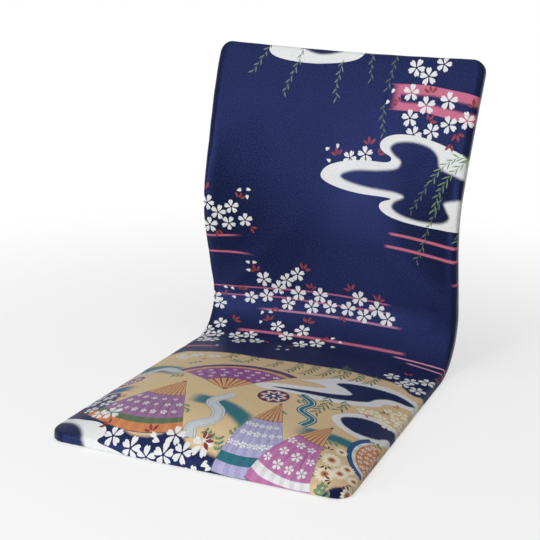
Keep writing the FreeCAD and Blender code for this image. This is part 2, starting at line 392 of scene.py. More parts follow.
@dataclass
class Skin:
    """A face at one distance over the foam, which rolls over the edge and turns in behind the wood."""

    padding: Padding
    grow: float
    fold_radius: float = 1.2
    hem: float = 26.0
    window_corner: float = 2.0

    def __post_init__(self) -> None:
        """Give the skin its outline."""
        self.sheet = self.padding.sheet
        front, top = self.sheet.front_corner + self.grow, self.sheet.top_corner + self.grow
        self.outline = Outline(self.sheet, self.grow, front, top)

    def lengths(self, foot: Points) -> tuple[Values, ...]:
        """Lengths of cloth over the rolled edge, down the side wall and round the rear fold.

        Args:
            foot: points on the outline.

        Returns:
            The roll's radius and the three lengths, each for every point.
        """
        roll = self.padding.edge_radius(foot[:, 1]) + self.grow
        shoulder = self.padding.level(foot[:, 0], foot[:, 1], self.grow) - roll
        rear = self.sheet.level_on(foot[:, 0], foot[:, 1], -self.grow)
        quarter = roll * math.pi / 2
        wall = shoulder - rear - self.fold_radius
        return roll, quarter, wall, np.full_like(roll, self.fold_radius * math.pi / 2)

    def ring(self, shares: Sequence[float]) -> Points:
        """Points round the cloth at one stage of its way over the edge.

        Args:
            shares: how much of the roll, the wall, the fold and the hem the cloth has passed.

        Returns:
            Rows of x and run.
        """
        foot, out = self.outline.loop()
        roll, *parts = self.lengths(foot)
        along = sum(part * share for part, share in zip((*parts, self.hem - self.fold_radius), shares))
        return foot + out * (along - roll)[:, None]

    def lay(self, points: Points) -> Points:
        """Lay points of the flat cloth on the chair.

        Args:
            points: rows of x and run on the flat cloth.

        Returns:
            Rows of x, y and z in millimetres.
        """
        distance, out = self.outline.split(points)
        foot = points - out * distance[:, None]
        roll, quarter, wall, fold = self.lengths(foot)
        past = np.maximum(distance + roll, 0.0)
        turn = np.clip(past / quarter, 0.0, 1.0) * math.pi / 2
        on_roll = foot + out * (roll * (np.sin(turn) - 1))[:, None]
        where = np.where((distance <= -roll)[:, None], points, on_roll)
        level = self.padding.level(where[:, 0], where[:, 1], self.grow) - roll * (1 - np.cos(turn))
        level = level - np.clip(past - quarter, 0.0, wall)
        bend = np.clip((past - quarter - wall) / fold, 0.0, 1.0) * math.pi / 2
        under = np.clip(past - quarter - wall - fold, 0.0, None) / (self.hem - self.fold_radius)
        folded = foot - out * (self.fold_radius * (1 - np.cos(bend)))[:, None]
        inner = self.window(foot, out)
        hemmed = folded + (inner - folded) * under[:, None]
        where = np.where((past > quarter + wall)[:, None], hemmed, where)
        rear = self.sheet.level_on(where[:, 0], where[:, 1], -self.grow)
        folding = rear + self.fold_radius * (1 - np.sin(bend))
        level = np.where(past > quarter + wall, folding, level)
        return self.sheet.place(where[:, 0], where[:, 1], level)

    def window(self, foot: Points, out: Points) -> Points:
        """Where the hem that starts at each foot ends on the rear, round the corners of its window.

        Args:
            foot: points on the outline.
            out: their outward directions.

        Returns:
            Rows of x and run.
        """
        run = foot[:, 1]
        front = run < self.sheet.total / 2
        corner = np.where(front, self.outline.front_corner, self.outline.top_corner)[:, None]
        inset = self.hem + self.window_corner - corner
        at_corner = foot - out * corner - np.sign(out) * inset + out * self.window_corner
        straight = foot - out * self.hem
        half = self.sheet.side(straight[:, 1]) + self.grow - self.hem
        start, end = self.hem - self.grow, self.sheet.total + self.grow - self.hem
        limited = np.column_stack([
            np.clip(straight[:, 0], -half, half), np.clip(straight[:, 1], start, end),
        ])
        return np.where(on_corner(out)[:, None], at_corner, limited)


# Drawing the print

def smooth_loop(points: Places, steps: int = 6) -> Points:
    """A closed smooth line through points."""
    return spline(*(np.roll(np.array(points, float), shift, 0) for shift in (1, 0, -1, -2)), steps)


def smooth_path(points: Places, steps: int = 6) -> Points:
    """An open smooth line through points.

    Args:
        points: the line's knots.
        steps: how many points each stretch gets.

    Returns:
        Rows of x and run.
    """
    knots = np.array(points, float)
    knots = np.vstack([2 * knots[0] - knots[1], knots, 2 * knots[-1] - knots[-2]])
    return np.vstack([spline(knots[:-3], knots[1:-2], knots[2:-1], knots[3:], steps), knots[-2]])


def spline(before: Points, start: Points, end: Points, beyond: Points, steps: int) -> Points:
    """Points on smooth lines from each start to its end.

    Args:
        before: the knots before the starts.
        start: the knots that the stretches start from.
        end: those that they end at.
        beyond: those after the ends.
        steps: how many points each stretch gets.

    Returns:
        The points of all stretches in turn, without the last end.
    """
    slope_in, slope_out = (end - before) / 2, (beyond - start) / 2
    parts = []
    for step in range(steps):
        t = step / steps
        square, cube = t * t, t * t * t
        keep = start * (2 * cube - 3 * square + 1) + end * (3 * square - 2 * cube)
        parts.append(keep + slope_in * (cube - 2 * square + t) + slope_out * (cube - square))
    return np.stack(parts, 1).reshape(-1, 2)


def inside(points: Points, outline: Points) -> Values:
    """Whether each point lies inside a closed outline.

    Args:
        points: rows of x and run.
        outline: the outline's corners.

    Returns:
        True or false for each point.
    """
    found = np.zeros(len(points), bool)
    x, y = points[:, 0], points[:, 1]
    for (x0, y0), (x1, y1) in zip(outline, np.roll(outline, -1, 0)):
        if y0 == y1:
            continue
        found ^= ((y0 > y) != (y1 > y)) & (x < (x1 - x0) * (y - y0) / (y1 - y0) + x0)
    return found


def distance_to(points: Points, line: Points, closed: bool) -> Values:
    """Distance from each point to a line of straight runs.

    Args:
        points: rows of x and run.
        line: the line's corners.
        closed: whether the line ends where it starts.

    Returns:
        One distance for each point.
    """
    ends = np.roll(line, -1, 0) if closed else line[1:]
    starts = line if closed else line[:-1]
    nearest = np.full(len(points), np.inf)
    for start, end in zip(starts, ends):
        run = end - start
        share = np.clip((points - start) @ run / max(run @ run, 1e-12), 0.0, 1.0)
        nearest = np.minimum(nearest, np.hypot(*(points - start - share[:, None] * run).T))
    return nearest


def turned(shape: Points, angle: float) -> Points:
    """A shape turned about its own zero, in radians."""
    cosine, sine = math.cos(angle), math.sin(angle)
    return shape @ np.array([[cosine, sine], [-sine, cosine]])


def varied(x: float, run: float, low: float, high: float, which: int = 0) -> float:
    """A value between low and high that depends only on the place."""
    share = noise.noise(Vector((x * 0.37 + which * 17.3, run * 0.41, which * 5.1))) * 0.9 + 0.5
    return low + (high - low) * min(max(share, 0.0), 1.0)


def even_grid(low: Sequence[float], high: Sequence[float], across: float, along: float) -> Points:
    """Rows of x and run that fill a box at even steps across and along."""
    steps = (np.arange(low[0], high[0], across), np.arange(low[1], high[1], along))
    return np.stack(np.meshgrid(*steps), -1).reshape(-1, 2)


class Ink(Enum):
    """Colours of the print, the rear cloth and the foam."""

    NAVY = "0F142C"
    DEEP_NAVY = "1D2247"
    WHITE = "D6D7D4"
    CREAM = "E6DCC4"
    PINK = "BC6577"
    PALE_PINK = "D490A8"
    DARK_RED = "8A3D18"
    OLIVE = "6B7B60"
    LEAF_GREEN = "6F8A5C"
    MOSS = "56693F"
    GOLD = "CDB586"
    ORANGE = "C27C42"
    AMBER = "C99A62"
    TEAL = "2A666A"
    BLUE = "23507A"
    MAUVE = "93688A"
    MAGENTA = "8C4F82"
    LAVENDER = "A5A0BF"
    ROSE = "B26F9A"
    PLUM = "5A3A5E"
    BROWN = "6E3B22"
    GREY = "9BA0A5"
    PAPER = "BEC2C1"
    INK_LINE = "39304A"

    @property
    def linear(self) -> Values:
        """The colour as linear red, green and blue."""
        levels = np.array([int(self.value[at:at + 2], 16) / 255 for at in (0, 2, 4)])
        return np.where(levels <= 0.04045, levels / 12.92, ((levels + 0.055) / 1.055) ** 2.4)


class Tone(Protocol):
    """How one patch of the print takes its colour."""

    def colours(self, points: Points) -> Values:
        """Linear colours at points of the flat cloth."""


@dataclass(frozen=True)
class Flat:
    """One colour all over."""

    ink: Ink
    shade: float = 1.0

    def colours(self, points: Points) -> Values:
        """Linear colours at points of the flat cloth."""
        return np.tile(self.ink.linear * self.shade, (len(points), 1))


@dataclass(frozen=True)
class Airbrushed:
    """One colour inside a core, which fades to another over a soft edge."""

    core: Points
    inner: Ink
    outer: Ink
    softness: float = 5.0
    lead: float = 0.3

    def colours(self, points: Points) -> Values:
        """Linear colours at points of the flat cloth.

        Args:
            points: rows of x and run.

        Returns:
            One colour for each point.
        """
        gap = distance_to(points, self.core, True)
        depth = np.where(inside(points, self.core), gap, -gap)
        share = smoothstep(depth / self.softness + 1 - self.lead)[:, None]
        return self.outer.linear * (1 - share) + self.inner.linear * share


@dataclass(frozen=True)
class Streaked:
    """A mist line: full colour along its middle, fading at its edges and its ends."""

    line: Points
    ink: Ink
    ground: Ink
    half_width: float
    fades: Place
    strength: float = 1.0

    def colours(self, points: Points) -> Values:
        """Linear colours at points of the flat cloth.

        Args:
            points: rows of x and run.

        Returns:
            One colour for each point.
        """
        gap = distance_to(points, self.line, False)
        body = smoothstep((self.half_width - gap) / (0.55 * self.half_width))
        start_fade, end_fade = self.fades
        along = points[:, 0]
        body = body * smoothstep((along - self.line[0, 0]) / start_fade) if start_fade else body
        body = body * smoothstep((self.line[-1, 0] - along) / end_fade) if end_fade else body
        share = (body * self.strength)[:, None]
        return self.ground.linear * (1 - share) + self.ink.linear * share


@dataclass(frozen=True)
class Patch:
    """A closed shape of the print, drawn over the patches before it."""

    outline: Points
    tone: Tone
    fill_spacing: float = 0.0

    def filling(self) -> Points:
        """Points inside the patch that carry its soft colours.

        Returns:
            Rows of x and run, none for a patch of one colour.
        """
        if not self.fill_spacing:
            return np.zeros((0, 2))
        step = self.fill_spacing
        grid = even_grid(self.outline.min(0), self.outline.max(0), step, step)
        kept = inside(grid, self.outline)
        clear = distance_to(grid[kept], self.outline, True) > step * 0.4
        return grid[kept][clear]


class Motif(Protocol):
    """Something the print shows."""

    def patches(self) -> Iterator[Patch]:
        """The motif's patches, lowest first."""


@dataclass(frozen=True)
class Blossom:
    """A five-petalled blossom with notched petals."""

    x: float
    run: float
    radius: float = 12.2
    ink: Ink = Ink.WHITE

    def patches(self) -> Iterator[Patch]:
        """The blossom's petals.

        Returns:
            One patch for each petal.
        """
        lean = varied(self.x, self.run, -0.5, 0.5)
        radius = self.radius * varied(self.x, self.run, 0.93, 1.07, 3)
        for index in range(5):
            angle = lean + index * math.tau / 5 + varied(self.x + index, self.run, -0.07, 0.07, 1)
            length = radius * varied(self.x, self.run + index, 0.92, 1.06, 2)
            shape = turned(petal_shape(length), angle) + (self.x, self.run)
            yield Patch(shape, Flat(self.ink))


@dataclass(frozen=True)
class Spray:
    """Blossoms of one size at several places."""

    radius: float
    places: Places
    ink: Ink = Ink.WHITE

    def patches(self) -> Iterator[Patch]:
        """The petals of every blossom."""
        for place in self.places:
            yield from Blossom(*place, self.radius, self.ink).patches()


def petal_shape(length: float) -> Points:
    """One notched petal that points along +run from the blossom's centre."""
    half = np.array([(0.04, 0.14), (0.13, 0.30), (0.25, 0.52), (0.30, 0.72), (0.24, 0.90), (0.12, 1.0)])
    return np.vstack([half, [(0.0, 0.86)], half[::-1] * (-1, 1)]) * length


@dataclass(frozen=True)
class LoosePetals:
    """Loose petals at several places."""

    places: Places
    length: float = 6.5

    def patches(self) -> Iterator[Patch]:
        """The petals.

        Returns:
            One patch for each petal.
        """
        shape = petal_shape(self.length * 1.25) - (0.0, self.length * 0.6)
        for place in self.places:
            yield Patch(turned(shape, varied(*place, -2.6, 2.6)) + place, Flat(Ink.WHITE))


def lens(length: float, width: float) -> Points:
    """A pointed leaf that starts at zero and points along +run."""
    half = np.array([(0.0, 0.0), (0.34, 0.22), (0.5, 0.48), (0.36, 0.76), (0.0, 1.0)])
    return np.vstack([half, half[1:-1][::-1] * (-1, 1)]) * (width, length)


@dataclass(frozen=True)
class LeafSprig:
    """Young leaves that spread from one point."""

    x: float
    run: float
    aim: float = 0.0
    count: int = 3
    length: float = 10.5
    ink: Ink = Ink.DARK_RED

    def patches(self) -> Iterator[Patch]:
        """The leaves, each with a darker half.

        Returns:
            The patches, lowest first.
        """
        for index in range(self.count):
            angle = math.radians(self.aim) + (index - (self.count - 1) / 2) * 0.85
            length = self.length * varied(self.x, self.run, 0.8, 1.15, index)
            blade = turned(lens(length, length * 0.42) + (0.0, 2.0), angle) + (self.x, self.run)
            yield Patch(blade, Flat(self.ink))
            yield Patch(blade[:5], Flat(self.ink, 0.72))


@dataclass(frozen=True)
class WillowStrand:
    """A hanging willow twig with narrow leaves."""

    line: Places
    leaf_length: float = 10.0
    spacing: float = 6.5
    leaf_width: float = 1.9
    ink: Ink = Ink.OLIVE
    shade: float = 1.0

    def patches(self) -> Iterator[Patch]:
        """The stem and its leaves.

        Returns:
            The patches, lowest first.
        """
        path = smooth_path(self.line, 8)
        yield Patch(stripe(path, 0.35, 0.2), Flat(self.ink, self.shade * 0.8))
        steps = np.hypot(*np.diff(path, axis=0).T)
        along = np.concatenate([[0.0], np.cumsum(steps)])
        for index, distance in enumerate(np.arange(self.spacing / 2, along[-1] + 0.1, self.spacing)):
            back, here, ahead = (
                np.array([np.interp(distance + shift, along, way) for way in path.T])
                for shift in (-2, 0, 2)
            )
            heading = math.atan2(-(ahead - back)[0], (ahead - back)[1])
            side = 1 if index % 2 else -1
            angle = heading + side * varied(here[0], here[1], 0.35, 0.7)
            length = self.leaf_length * varied(here[0], here[1], 0.7, 1.1, 2)
            blade = turned(lens(length, self.leaf_width), angle) + here
            tone = Flat(self.ink, self.shade * varied(here[0], here[1], 0.8, 1.15, 4))
            yield Patch(blade, tone)


def beside(path: Points, distance: Values) -> Points:
    """A path moved sideways, by one distance or by one for each point."""
    way = np.gradient(path, axis=0).T
    return path + np.column_stack([-way[1], way[0]] / np.maximum(np.hypot(*way), 1e-9)) * distance


def stripe(path: Points, start_half: float, end_half: float) -> Points:
    """A narrow closed shape along a path, from one half width to another."""
    half = np.linspace(start_half, end_half, len(path))[:, None]
    return np.vstack([beside(path, -half), beside(path, half)[::-1]])


def signed_area(outline: Points) -> float:
    """The area inside a closed outline, negative where it runs clockwise."""
    after = np.roll(outline, -1, 0)
    return float(np.sum(outline[:, 0] * after[:, 1] - after[:, 0] * outline[:, 1])) / 2


@dataclass(frozen=True)
class Cloud:
    """A white cloud whose middle is airbrushed back to the ground's navy."""

    edge: Places
    core: Places
    softness: float = 5.0

    def patches(self) -> Iterator[Patch]:
        """The white shape and its soft middle.

        Returns:
            The patches, lowest first.
        """
        core = smooth_loop(self.core)
        middle = Airbrushed(core, Ink.NAVY, Ink.WHITE, self.softness)
        yield Patch(smooth_loop(self.edge), Flat(Ink.WHITE))
        yield Patch(grown(core, self.softness * 0.75), middle, 1.9)


def grown(outline: Points, by: float) -> Points:
    """A closed outline moved outwards.

    Args:
        outline: the outline's corners.
        by: how far it moves.

    Returns:
        Its moved corners.
    """
    way = np.roll(outline, -1, 0) - np.roll(outline, 1, 0)
    way /= np.maximum(np.hypot(*way.T), 1e-9)[:, None]
    normal = np.column_stack([way[:, 1], -way[:, 0]]) * math.copysign(1.0, signed_area(outline))
    return outline + normal * by


@dataclass(frozen=True)
class MistLine:
    """A thin band of mist with soft ends."""

    line: Places
    width: float = 4.5
    fades: Place = (12.0, 12.0)
    ink: Ink = Ink.PINK
    ground: Ink = Ink.NAVY
    strength: float = 1.0

    def patches(self) -> Iterator[Patch]:
        """The band.

        Returns:
            One patch.
        """
        path = smooth_path(self.line, 10)
        tone = Streaked(path, self.ink, self.ground, self.width / 2, self.fades, self.strength)
        yield Patch(stripe(path, self.width / 2, self.width / 2), tone, max(self.width / 5, 0.9))


@dataclass(frozen=True)
class FoldingFan:
    """An open folding fan with pleats, ribs, a banded edge and small blossoms."""

    x: float
    run: float
    radius: float
    aim: float
    spread: float
    leaf: Ink
    bands: tuple[Ink, Ink] = (Ink.ORANGE, Ink.MOSS)
    sprig_radius: float = 4.6
    rows: Sequence[tuple[float, int]] = ((0.5, 5), (0.62, 6), (0.75, 8))
    pleats: int = 14

    def patches(self) -> Iterator[Patch]:
        """The ribs, the pleated leaf, its edge bands and its blossoms.

        Returns:
            The patches, lowest first.
        """
        yield Patch(self.sector(0.02, 0.42, 0, self.pleats, 0.5), Flat(Ink.BROWN, 0.8))
        for index in range(0, self.pleats, 2):
            yield Patch(self.sector(0.05, 0.41, index + 0.2, index + 1.7, -0.2), Flat(Ink.AMBER))
        yield Patch(self.sector(0.40, 1.0, 0, self.pleats, 0.9), Flat(Ink.INK_LINE))
        outer, inner = self.bands
        for index in range(self.pleats):
            shade = 1.0 if index % 2 else 0.86
            for start, end, ink in ((0.40, 0.84, self.leaf), (0.84, 0.91, inner), (0.91, 1.0, outer)):
                yield Patch(self.sector(start, end, index, index + 1), Flat(ink, shade))
        yield from self.sprays()

    def sector(self, inner: float, outer: float, first: float, last: float,
               margin: float = 0.0) -> Points:
        """A part of the fan between two radii and two pleats.

        Args:
            inner: where it starts, as a share of the fan's radius.
            outer: where it ends.
            first: the pleat that it starts at.
            last: the one that it ends at.
            margin: how far it reaches past both radii.

        Returns:
            A closed outline.
        """
        angles = np.linspace(first, last, max(2, round(abs(last - first)) * 2 + 1)) / self.pleats - 0.5
        angles = np.radians(self.aim) + angles * math.radians(self.spread)
        ways = np.column_stack([-np.sin(angles), np.cos(angles)])
        near, far = self.radius * inner - margin, self.radius * outer + margin
        shape = np.vstack([ways[::-1] * max(near, 0.3), ways * far])
        return shape + (self.x, self.run)

    def sprays(self) -> Iterator[Patch]:
        """Small blossoms over the leaf.

        Returns:
            Their petals.
        """
        for row, (reach, count) in enumerate(self.rows):
            for index in range(count):
                share = (index + 0.3 + 0.4 * (row % 2)) / count - 0.5
                angle = math.radians(self.aim + share * self.spread * 0.96)
                x = self.x - math.sin(angle) * reach * self.radius
                run = self.run + math.cos(angle) * reach * self.radius
                radius = self.sprig_radius * varied(x, run, 0.75, 1.25, 5)
                yield from Blossom(x, run, radius).patches()


@dataclass(frozen=True)
class Ribbon:
    """A flat ribbon that winds over the ground, with thin lines along its edges."""

    line: Places
    width: float
    ink: Ink
    trim: Ink = Ink.GREY

    def patches(self) -> Iterator[Patch]:
        """The ribbon and its lines.

        Returns:
            The patches, lowest first.
        """
        path = smooth_path(self.line, 8)
        half = self.width / 2
        yield Patch(stripe(path, half + 0.5, half + 0.5), Flat(Ink.INK_LINE))
        yield Patch(stripe(path, half, half), Flat(self.ink))
        for offset in (-0.62, 0.62):
            yield Patch(stripe(beside(path, half * offset), 0.5, 0.5), Flat(self.trim))


@dataclass(frozen=True)
class Daisy:
    """A round flower with narrow petals and an orange middle."""

    x: float
    run: float
    radius: float = 13.0
    petals: int = 14

    def patches(self) -> Iterator[Patch]:
        """The petals and the middle.

        Returns:
            The patches, lowest first.
        """
        for index in range(self.petals):
            angle = index * math.tau / self.petals + varied(self.x, self.run, 0, 0.4)
            blade = turned(lens(self.radius * 0.66, self.radius * 0.3) + (0.0, self.radius * 0.34), angle)
            yield Patch(blade + (self.x, self.run), Flat(Ink.CREAM))
        yield Patch(disc(self.x, self.run, self.radius * 0.34), Flat(Ink.ORANGE))
        yield Patch(disc(self.x, self.run, self.radius * 0.16), Flat(Ink.BROWN))


def disc(x: float, run: float, radius: float, sides: int = 20) -> Points:
    """A round shape."""
    angles = np.arange(sides) * math.tau / sides
    return np.column_stack([np.cos(angles), np.sin(angles)]) * radius + (x, run)


@dataclass(frozen=True)
class ThreadBall:
    """A ball wound with coloured thread: a star of lens shapes in a ring."""

    x: float
    run: float
    radius: float
    inks: tuple[Ink, Ink, Ink] = (Ink.ORANGE, Ink.TEAL, Ink.WHITE)

    def patches(self) -> Iterator[Patch]:
        """The ball, its star and its middle.

        Returns:
            The patches, lowest first.
        """
        first, second, third = self.inks
        yield Patch(disc(self.x, self.run, self.radius + 0.6, 32), Flat(Ink.INK_LINE))
        yield Patch(disc(self.x, self.run, self.radius, 32), Flat(first))
        for ring, (share, ink) in enumerate(((0.98, second), (0.84, third), (0.7, first))):
            for index in range(8):
                angle = index * math.tau / 8
                blade = turned(lens(self.radius * share, self.radius * (0.5 - 0.13 * ring)), angle)
                yield Patch(blade + (self.x, self.run), Flat(ink))
        yield Patch(disc(self.x, self.run, self.radius * 0.14, 12), Flat(Ink.CREAM))


@dataclass(frozen=True)
class Leaflets:
    """A short twig with small oval leaves in pairs."""

    x: float
    run: float
    aim: float
    pairs: int = 3
    ink: Ink = Ink.LEAF_GREEN

    def patches(self) -> Iterator[Patch]:
        """The stem and its leaves.

        Returns:
            The patches, lowest first.
        """
        angle = math.radians(self.aim)
        way = np.array([-math.sin(angle), math.cos(angle)])
        here = np.array([self.x, self.run])
        stem = np.array([here + way * step for step in np.linspace(0, self.pairs * 7.0, 4)])
        yield Patch(stripe(stem, 0.4, 0.3), Flat(Ink.MOSS))
        for index in range(self.pairs):
            for side in (-1, 1):
                start = here + way * (3.0 + index * 6.5)
                blade = turned(lens(7.6, 4.2), angle + side * 0.9) + start
                yield Patch(blade, Flat(self.ink, 1.0 if side > 0 else 0.86))


@dataclass(frozen=True)
class SoftBand:
    """A pink band with crisp edges, a soft left end and a soft navy middle."""

    edge: Places
    core: Places
    fade_reach: float = 16.0
    full_ends: Sequence[float] = (600.0, 700.0, 950.0)

    def patches(self) -> Iterator[Patch]:
        """The band and its middle.

        Returns:
            The patches, lowest first.
        """
        outline = np.array(self.edge, float)
        # The full colour starts inside the left end and reaches past the other sides.
        left = float(outline[:, 0].min()) + self.fade_reach
        right, low, high = self.full_ends
        full = np.array([(left, low), (right, low), (right, high), (left, high)])
        body = Airbrushed(full, Ink.PINK, Ink.NAVY, 14.0, 0.4)
        inner = np.array(self.core, float)
        middle = Airbrushed(inner, Ink.NAVY, Ink.PINK, 5.0)
        yield Patch(outline, body, 3.0)
        yield Patch(grown(inner, 3.0), middle, 1.8)


@dataclass(frozen=True)
class GoldGround:
    """The gold ground of the seat, soft where it meets the navy."""

    edge: Places

    def patches(self) -> Iterator[Patch]:
        """The ground."""
        core = smooth_loop(self.edge, 4)
        yield Patch(grown(core, 2.5), Airbrushed(core, Ink.GOLD, Ink.NAVY, 4.0, 0.5), 3.2)


# What the print shows

EDGE = 240.0
OVER_WHITE: dict[str, object] = {"ink": Ink.LEAF_GREEN, "leaf_length": 13.0, "spacing": 5.0}
TEAL_ON_GOLD: dict[str, Ink] = {"ink": Ink.TEAL, "ground": Ink.GOLD}


@dataclass(frozen=True)
class BackPrint:
    """The print on the back: blossoms, mist lines, willow and clouds on navy."""

    sprays: Sequence[Motif] = (
        Spray(11.2, [(-185, 640), (-169, 627), (-150, 636), (-130, 617), (-154, 611), (-182, 608)]),
        Spray(12.6, [(101, 857), (121, 846), (140, 864), (100, 822), (124, 806), (156, 814), (186, 789),
            (103, 787), (161, 782)]),
        Spray(12.0, [(-107, 524), (-71, 526), (-54, 537), (-84, 512), (-53, 506), (-127, 490),
            (-102, 496), (-68, 488), (-31, 488), (-19, 508), (-2, 492), (26, 493), (42, 512), (51, 486),
            (70, 500), (87, 487)]),
        Spray(12.0, [(-76, 444), (-36, 443), (-56, 425), (-29, 408), (-7, 419), (-111, 415),
            (-132, 407), (-94, 395), (-118, 386)]),
        Spray(11.0, [(-175, 472), (-185, 483), (-166, 434), (-181, 416), (-162, 407), (-179, 398),
            (-159, 381), (-172, 378)]),
        Spray(12.0, [(132, 345), (159, 344), (178, 357), (176, 321), (153, 326)]),
    )
    loose_petals: Places = (
        (72, 822), (66, 806), (-14, 735), (0, 739), (-12, 719), (-140, 661), (-125, 663), (-127, 651),
        (-131, 550), (-119, 550), (-131, 537), (-167, 503), (-156, 502), (-155, 487), (-106, 465),
        (-92, 469), (-104, 447), (14, 438), (27, 431), (20, 417), (-52, 383), (-49, 366), (-36, 371),
        (-138, 352),
    )
    mist: Sequence[Motif] = (
        MistLine([(-EDGE, 592), (-170, 592), (-134, 593)], 4.2, (0.0, 26.0)),
        MistLine([(-EDGE, 566), (-160, 565), (-118, 562)], 4.4, (0.0, 30.0)),
        MistLine([(86, 622), (140, 621), (EDGE, 617)], 5.4, (8.0, 0.0)),
        MistLine([(80, 602), (140, 601), (EDGE, 599)], 5.6, (8.0, 0.0)),
        MistLine([(182, 563), (210, 564), (EDGE, 565)], 5.2, (10.0, 0.0)),
        MistLine([(-EDGE, 503), (-59, 511), (30, 512), (94, 510)], 3.4, (0.0, 14.0), strength=0.85),
        MistLine([(-EDGE, 484), (-90, 496), (-25, 496), (90, 497)], 3.2, (0.0, 14.0), strength=0.85),
        MistLine([(-120, 472), (-11, 477), (114, 475)], 5.0, (30.0, 18.0), Ink.PALE_PINK, strength=0.6),
        MistLine([(-139, 425), (-44, 430), (23, 431), (128, 429)], 8.0, (14.0, 12.0), strength=0.9),
        MistLine([(106, 420), (150, 416), (EDGE, 406)], 4.2, (12.0, 0.0), Ink.PALE_PINK),
        MistLine([(128, 410), (160, 404), (EDGE, 391)], 4.2, (12.0, 0.0), Ink.PALE_PINK),
        MistLine([(-EDGE, 338), (-170, 346), (-128, 350)], 9.0, (0.0, 24.0), strength=0.9),
    )
    top_cloud: Motif = Cloud(
        ((-122, 872), (-110, 857), (-60, 852), (-10, 857), (16, 866), (20, 880), (0, 900), (-100, 900)),
        ((-88, 888), (-66, 872), (-40, 867), (-10, 876), (-8, 896), (-60, 905)), softness=4.0,
    )
    high_band: Motif = SoftBand(
        ((62, 833), (120, 834), (180, 826), (240, 814), (240, 780), (180, 786), (120, 797), (64, 796)),
        ((84, 818), (130, 819), (180, 811), (250, 799), (250, 793), (180, 800), (130, 808), (86, 809)),
    )
    tucked: Sequence[Motif] = (
        Blossom(43, 732), Blossom(20, 725, 10.5), Blossom(111, 765), Blossom(137, 771),
        LeafSprig(48, 745, 10, 3), LeafSprig(2, 726, 20, 3), LeafSprig(60, 734, -60, 2),
    )
    side_cloud: Motif = Cloud(
        (
            (-21, 698), (-12, 711), (12, 720), (42, 724), (76, 724), (82, 731), (68, 739), (63, 749),
            (72, 759), (92, 764), (120, 763), (150, 756), (176, 747), (200, 738), (240, 730), (240, 628),
            (200, 640), (170, 641), (140, 641), (108, 643), (84, 649), (72, 658), (74, 667), (88, 673),
            (76, 675), (40, 676), (8, 681), (-14, 689),
        ),
        (
            (10, 700), (30, 708), (66, 711), (92, 716), (98, 727), (86, 736), (80, 745), (90, 752),
            (112, 754), (136, 749), (150, 738), (156, 722), (176, 714), (204, 706), (250, 700),
            (250, 686), (204, 684), (170, 678), (172, 668), (178, 658), (166, 650), (136, 648),
            (108, 652), (92, 660), (94, 669), (108, 678), (94, 684), (52, 687), (20, 693),
        ),
    )
    willows: Sequence[Motif] = (
        WillowStrand([(-119, 885), (-124, 868), (-133, 848), (-143, 829)]),
        WillowStrand([(-70, 880), (-76, 850), (-84, 826), (-90, 804)]),
        WillowStrand([(-8, 862), (-11, 842), (-13, 822), (-10, 803)]),
        WillowStrand([(34, 880), (34, 860), (37, 836)], shade=0.8),
        WillowStrand([(70, 882), (67, 850), (64, 826)], shade=0.7),
        WillowStrand([(63, 806), (62, 790), (66, 764)], shade=0.8),
        WillowStrand([(206, 738), (180, 738), (160, 724), (148, 706)], **OVER_WHITE),
        WillowStrand([(204, 742), (186, 728), (172, 712), (160, 690), (154, 664)], **OVER_WHITE),
        WillowStrand([(208, 660), (200, 646), (192, 628)], **OVER_WHITE),
        WillowStrand([(166, 684), (158, 664), (148, 640), (140, 612), (130, 586)], shade=0.75),
        WillowStrand([(144, 704), (134, 684), (120, 660)], shade=0.6),
        WillowStrand([(202, 690), (200, 664), (198, 636), (196, 600)], shade=0.7),
    )
    leaves: Sequence[Aimed] = (
        (128, 822, 10, 3, 11), (84, 806, 60, 3), (130, 784, -40, 3), (192, 806, 30, 2),
        (174, 772, 200, 3), (168, 758, 170, 2), (-139, 648, -20, 3), (-187, 657, 10, 2),
        (-124, 606, -120, 2), (-172, 602, 200, 2), (-118, 534, 20, 3), (-45, 544, -30, 3),
        (-34, 515, -10, 3), (30, 522, 30, 3), (72, 512, -10, 3), (-142, 500, -10, 3), (-166, 486, 30, 2),
        (17, 482, 190, 2), (-89, 481, 200, 2), (-91, 452, 30, 3), (-32, 458, -10, 3, 12),
        (-147, 442, -40, 3), (5, 428, 60, 3), (-42, 397, 200, 2), (-80, 404, 180, 2), (186, 372, -10, 2),
        (150, 362, 20, 2),
    )

    def motifs(self) -> list[Motif]:
        """Everything on the back.

        Returns:
            The motifs, lowest first.
        """
        return [
            *self.mist, self.top_cloud, self.high_band, *self.tucked, self.side_cloud, *self.willows,
            *(LeafSprig(*leaf) for leaf in self.leaves), *self.sprays, LoosePetals(self.loose_petals),
        ]


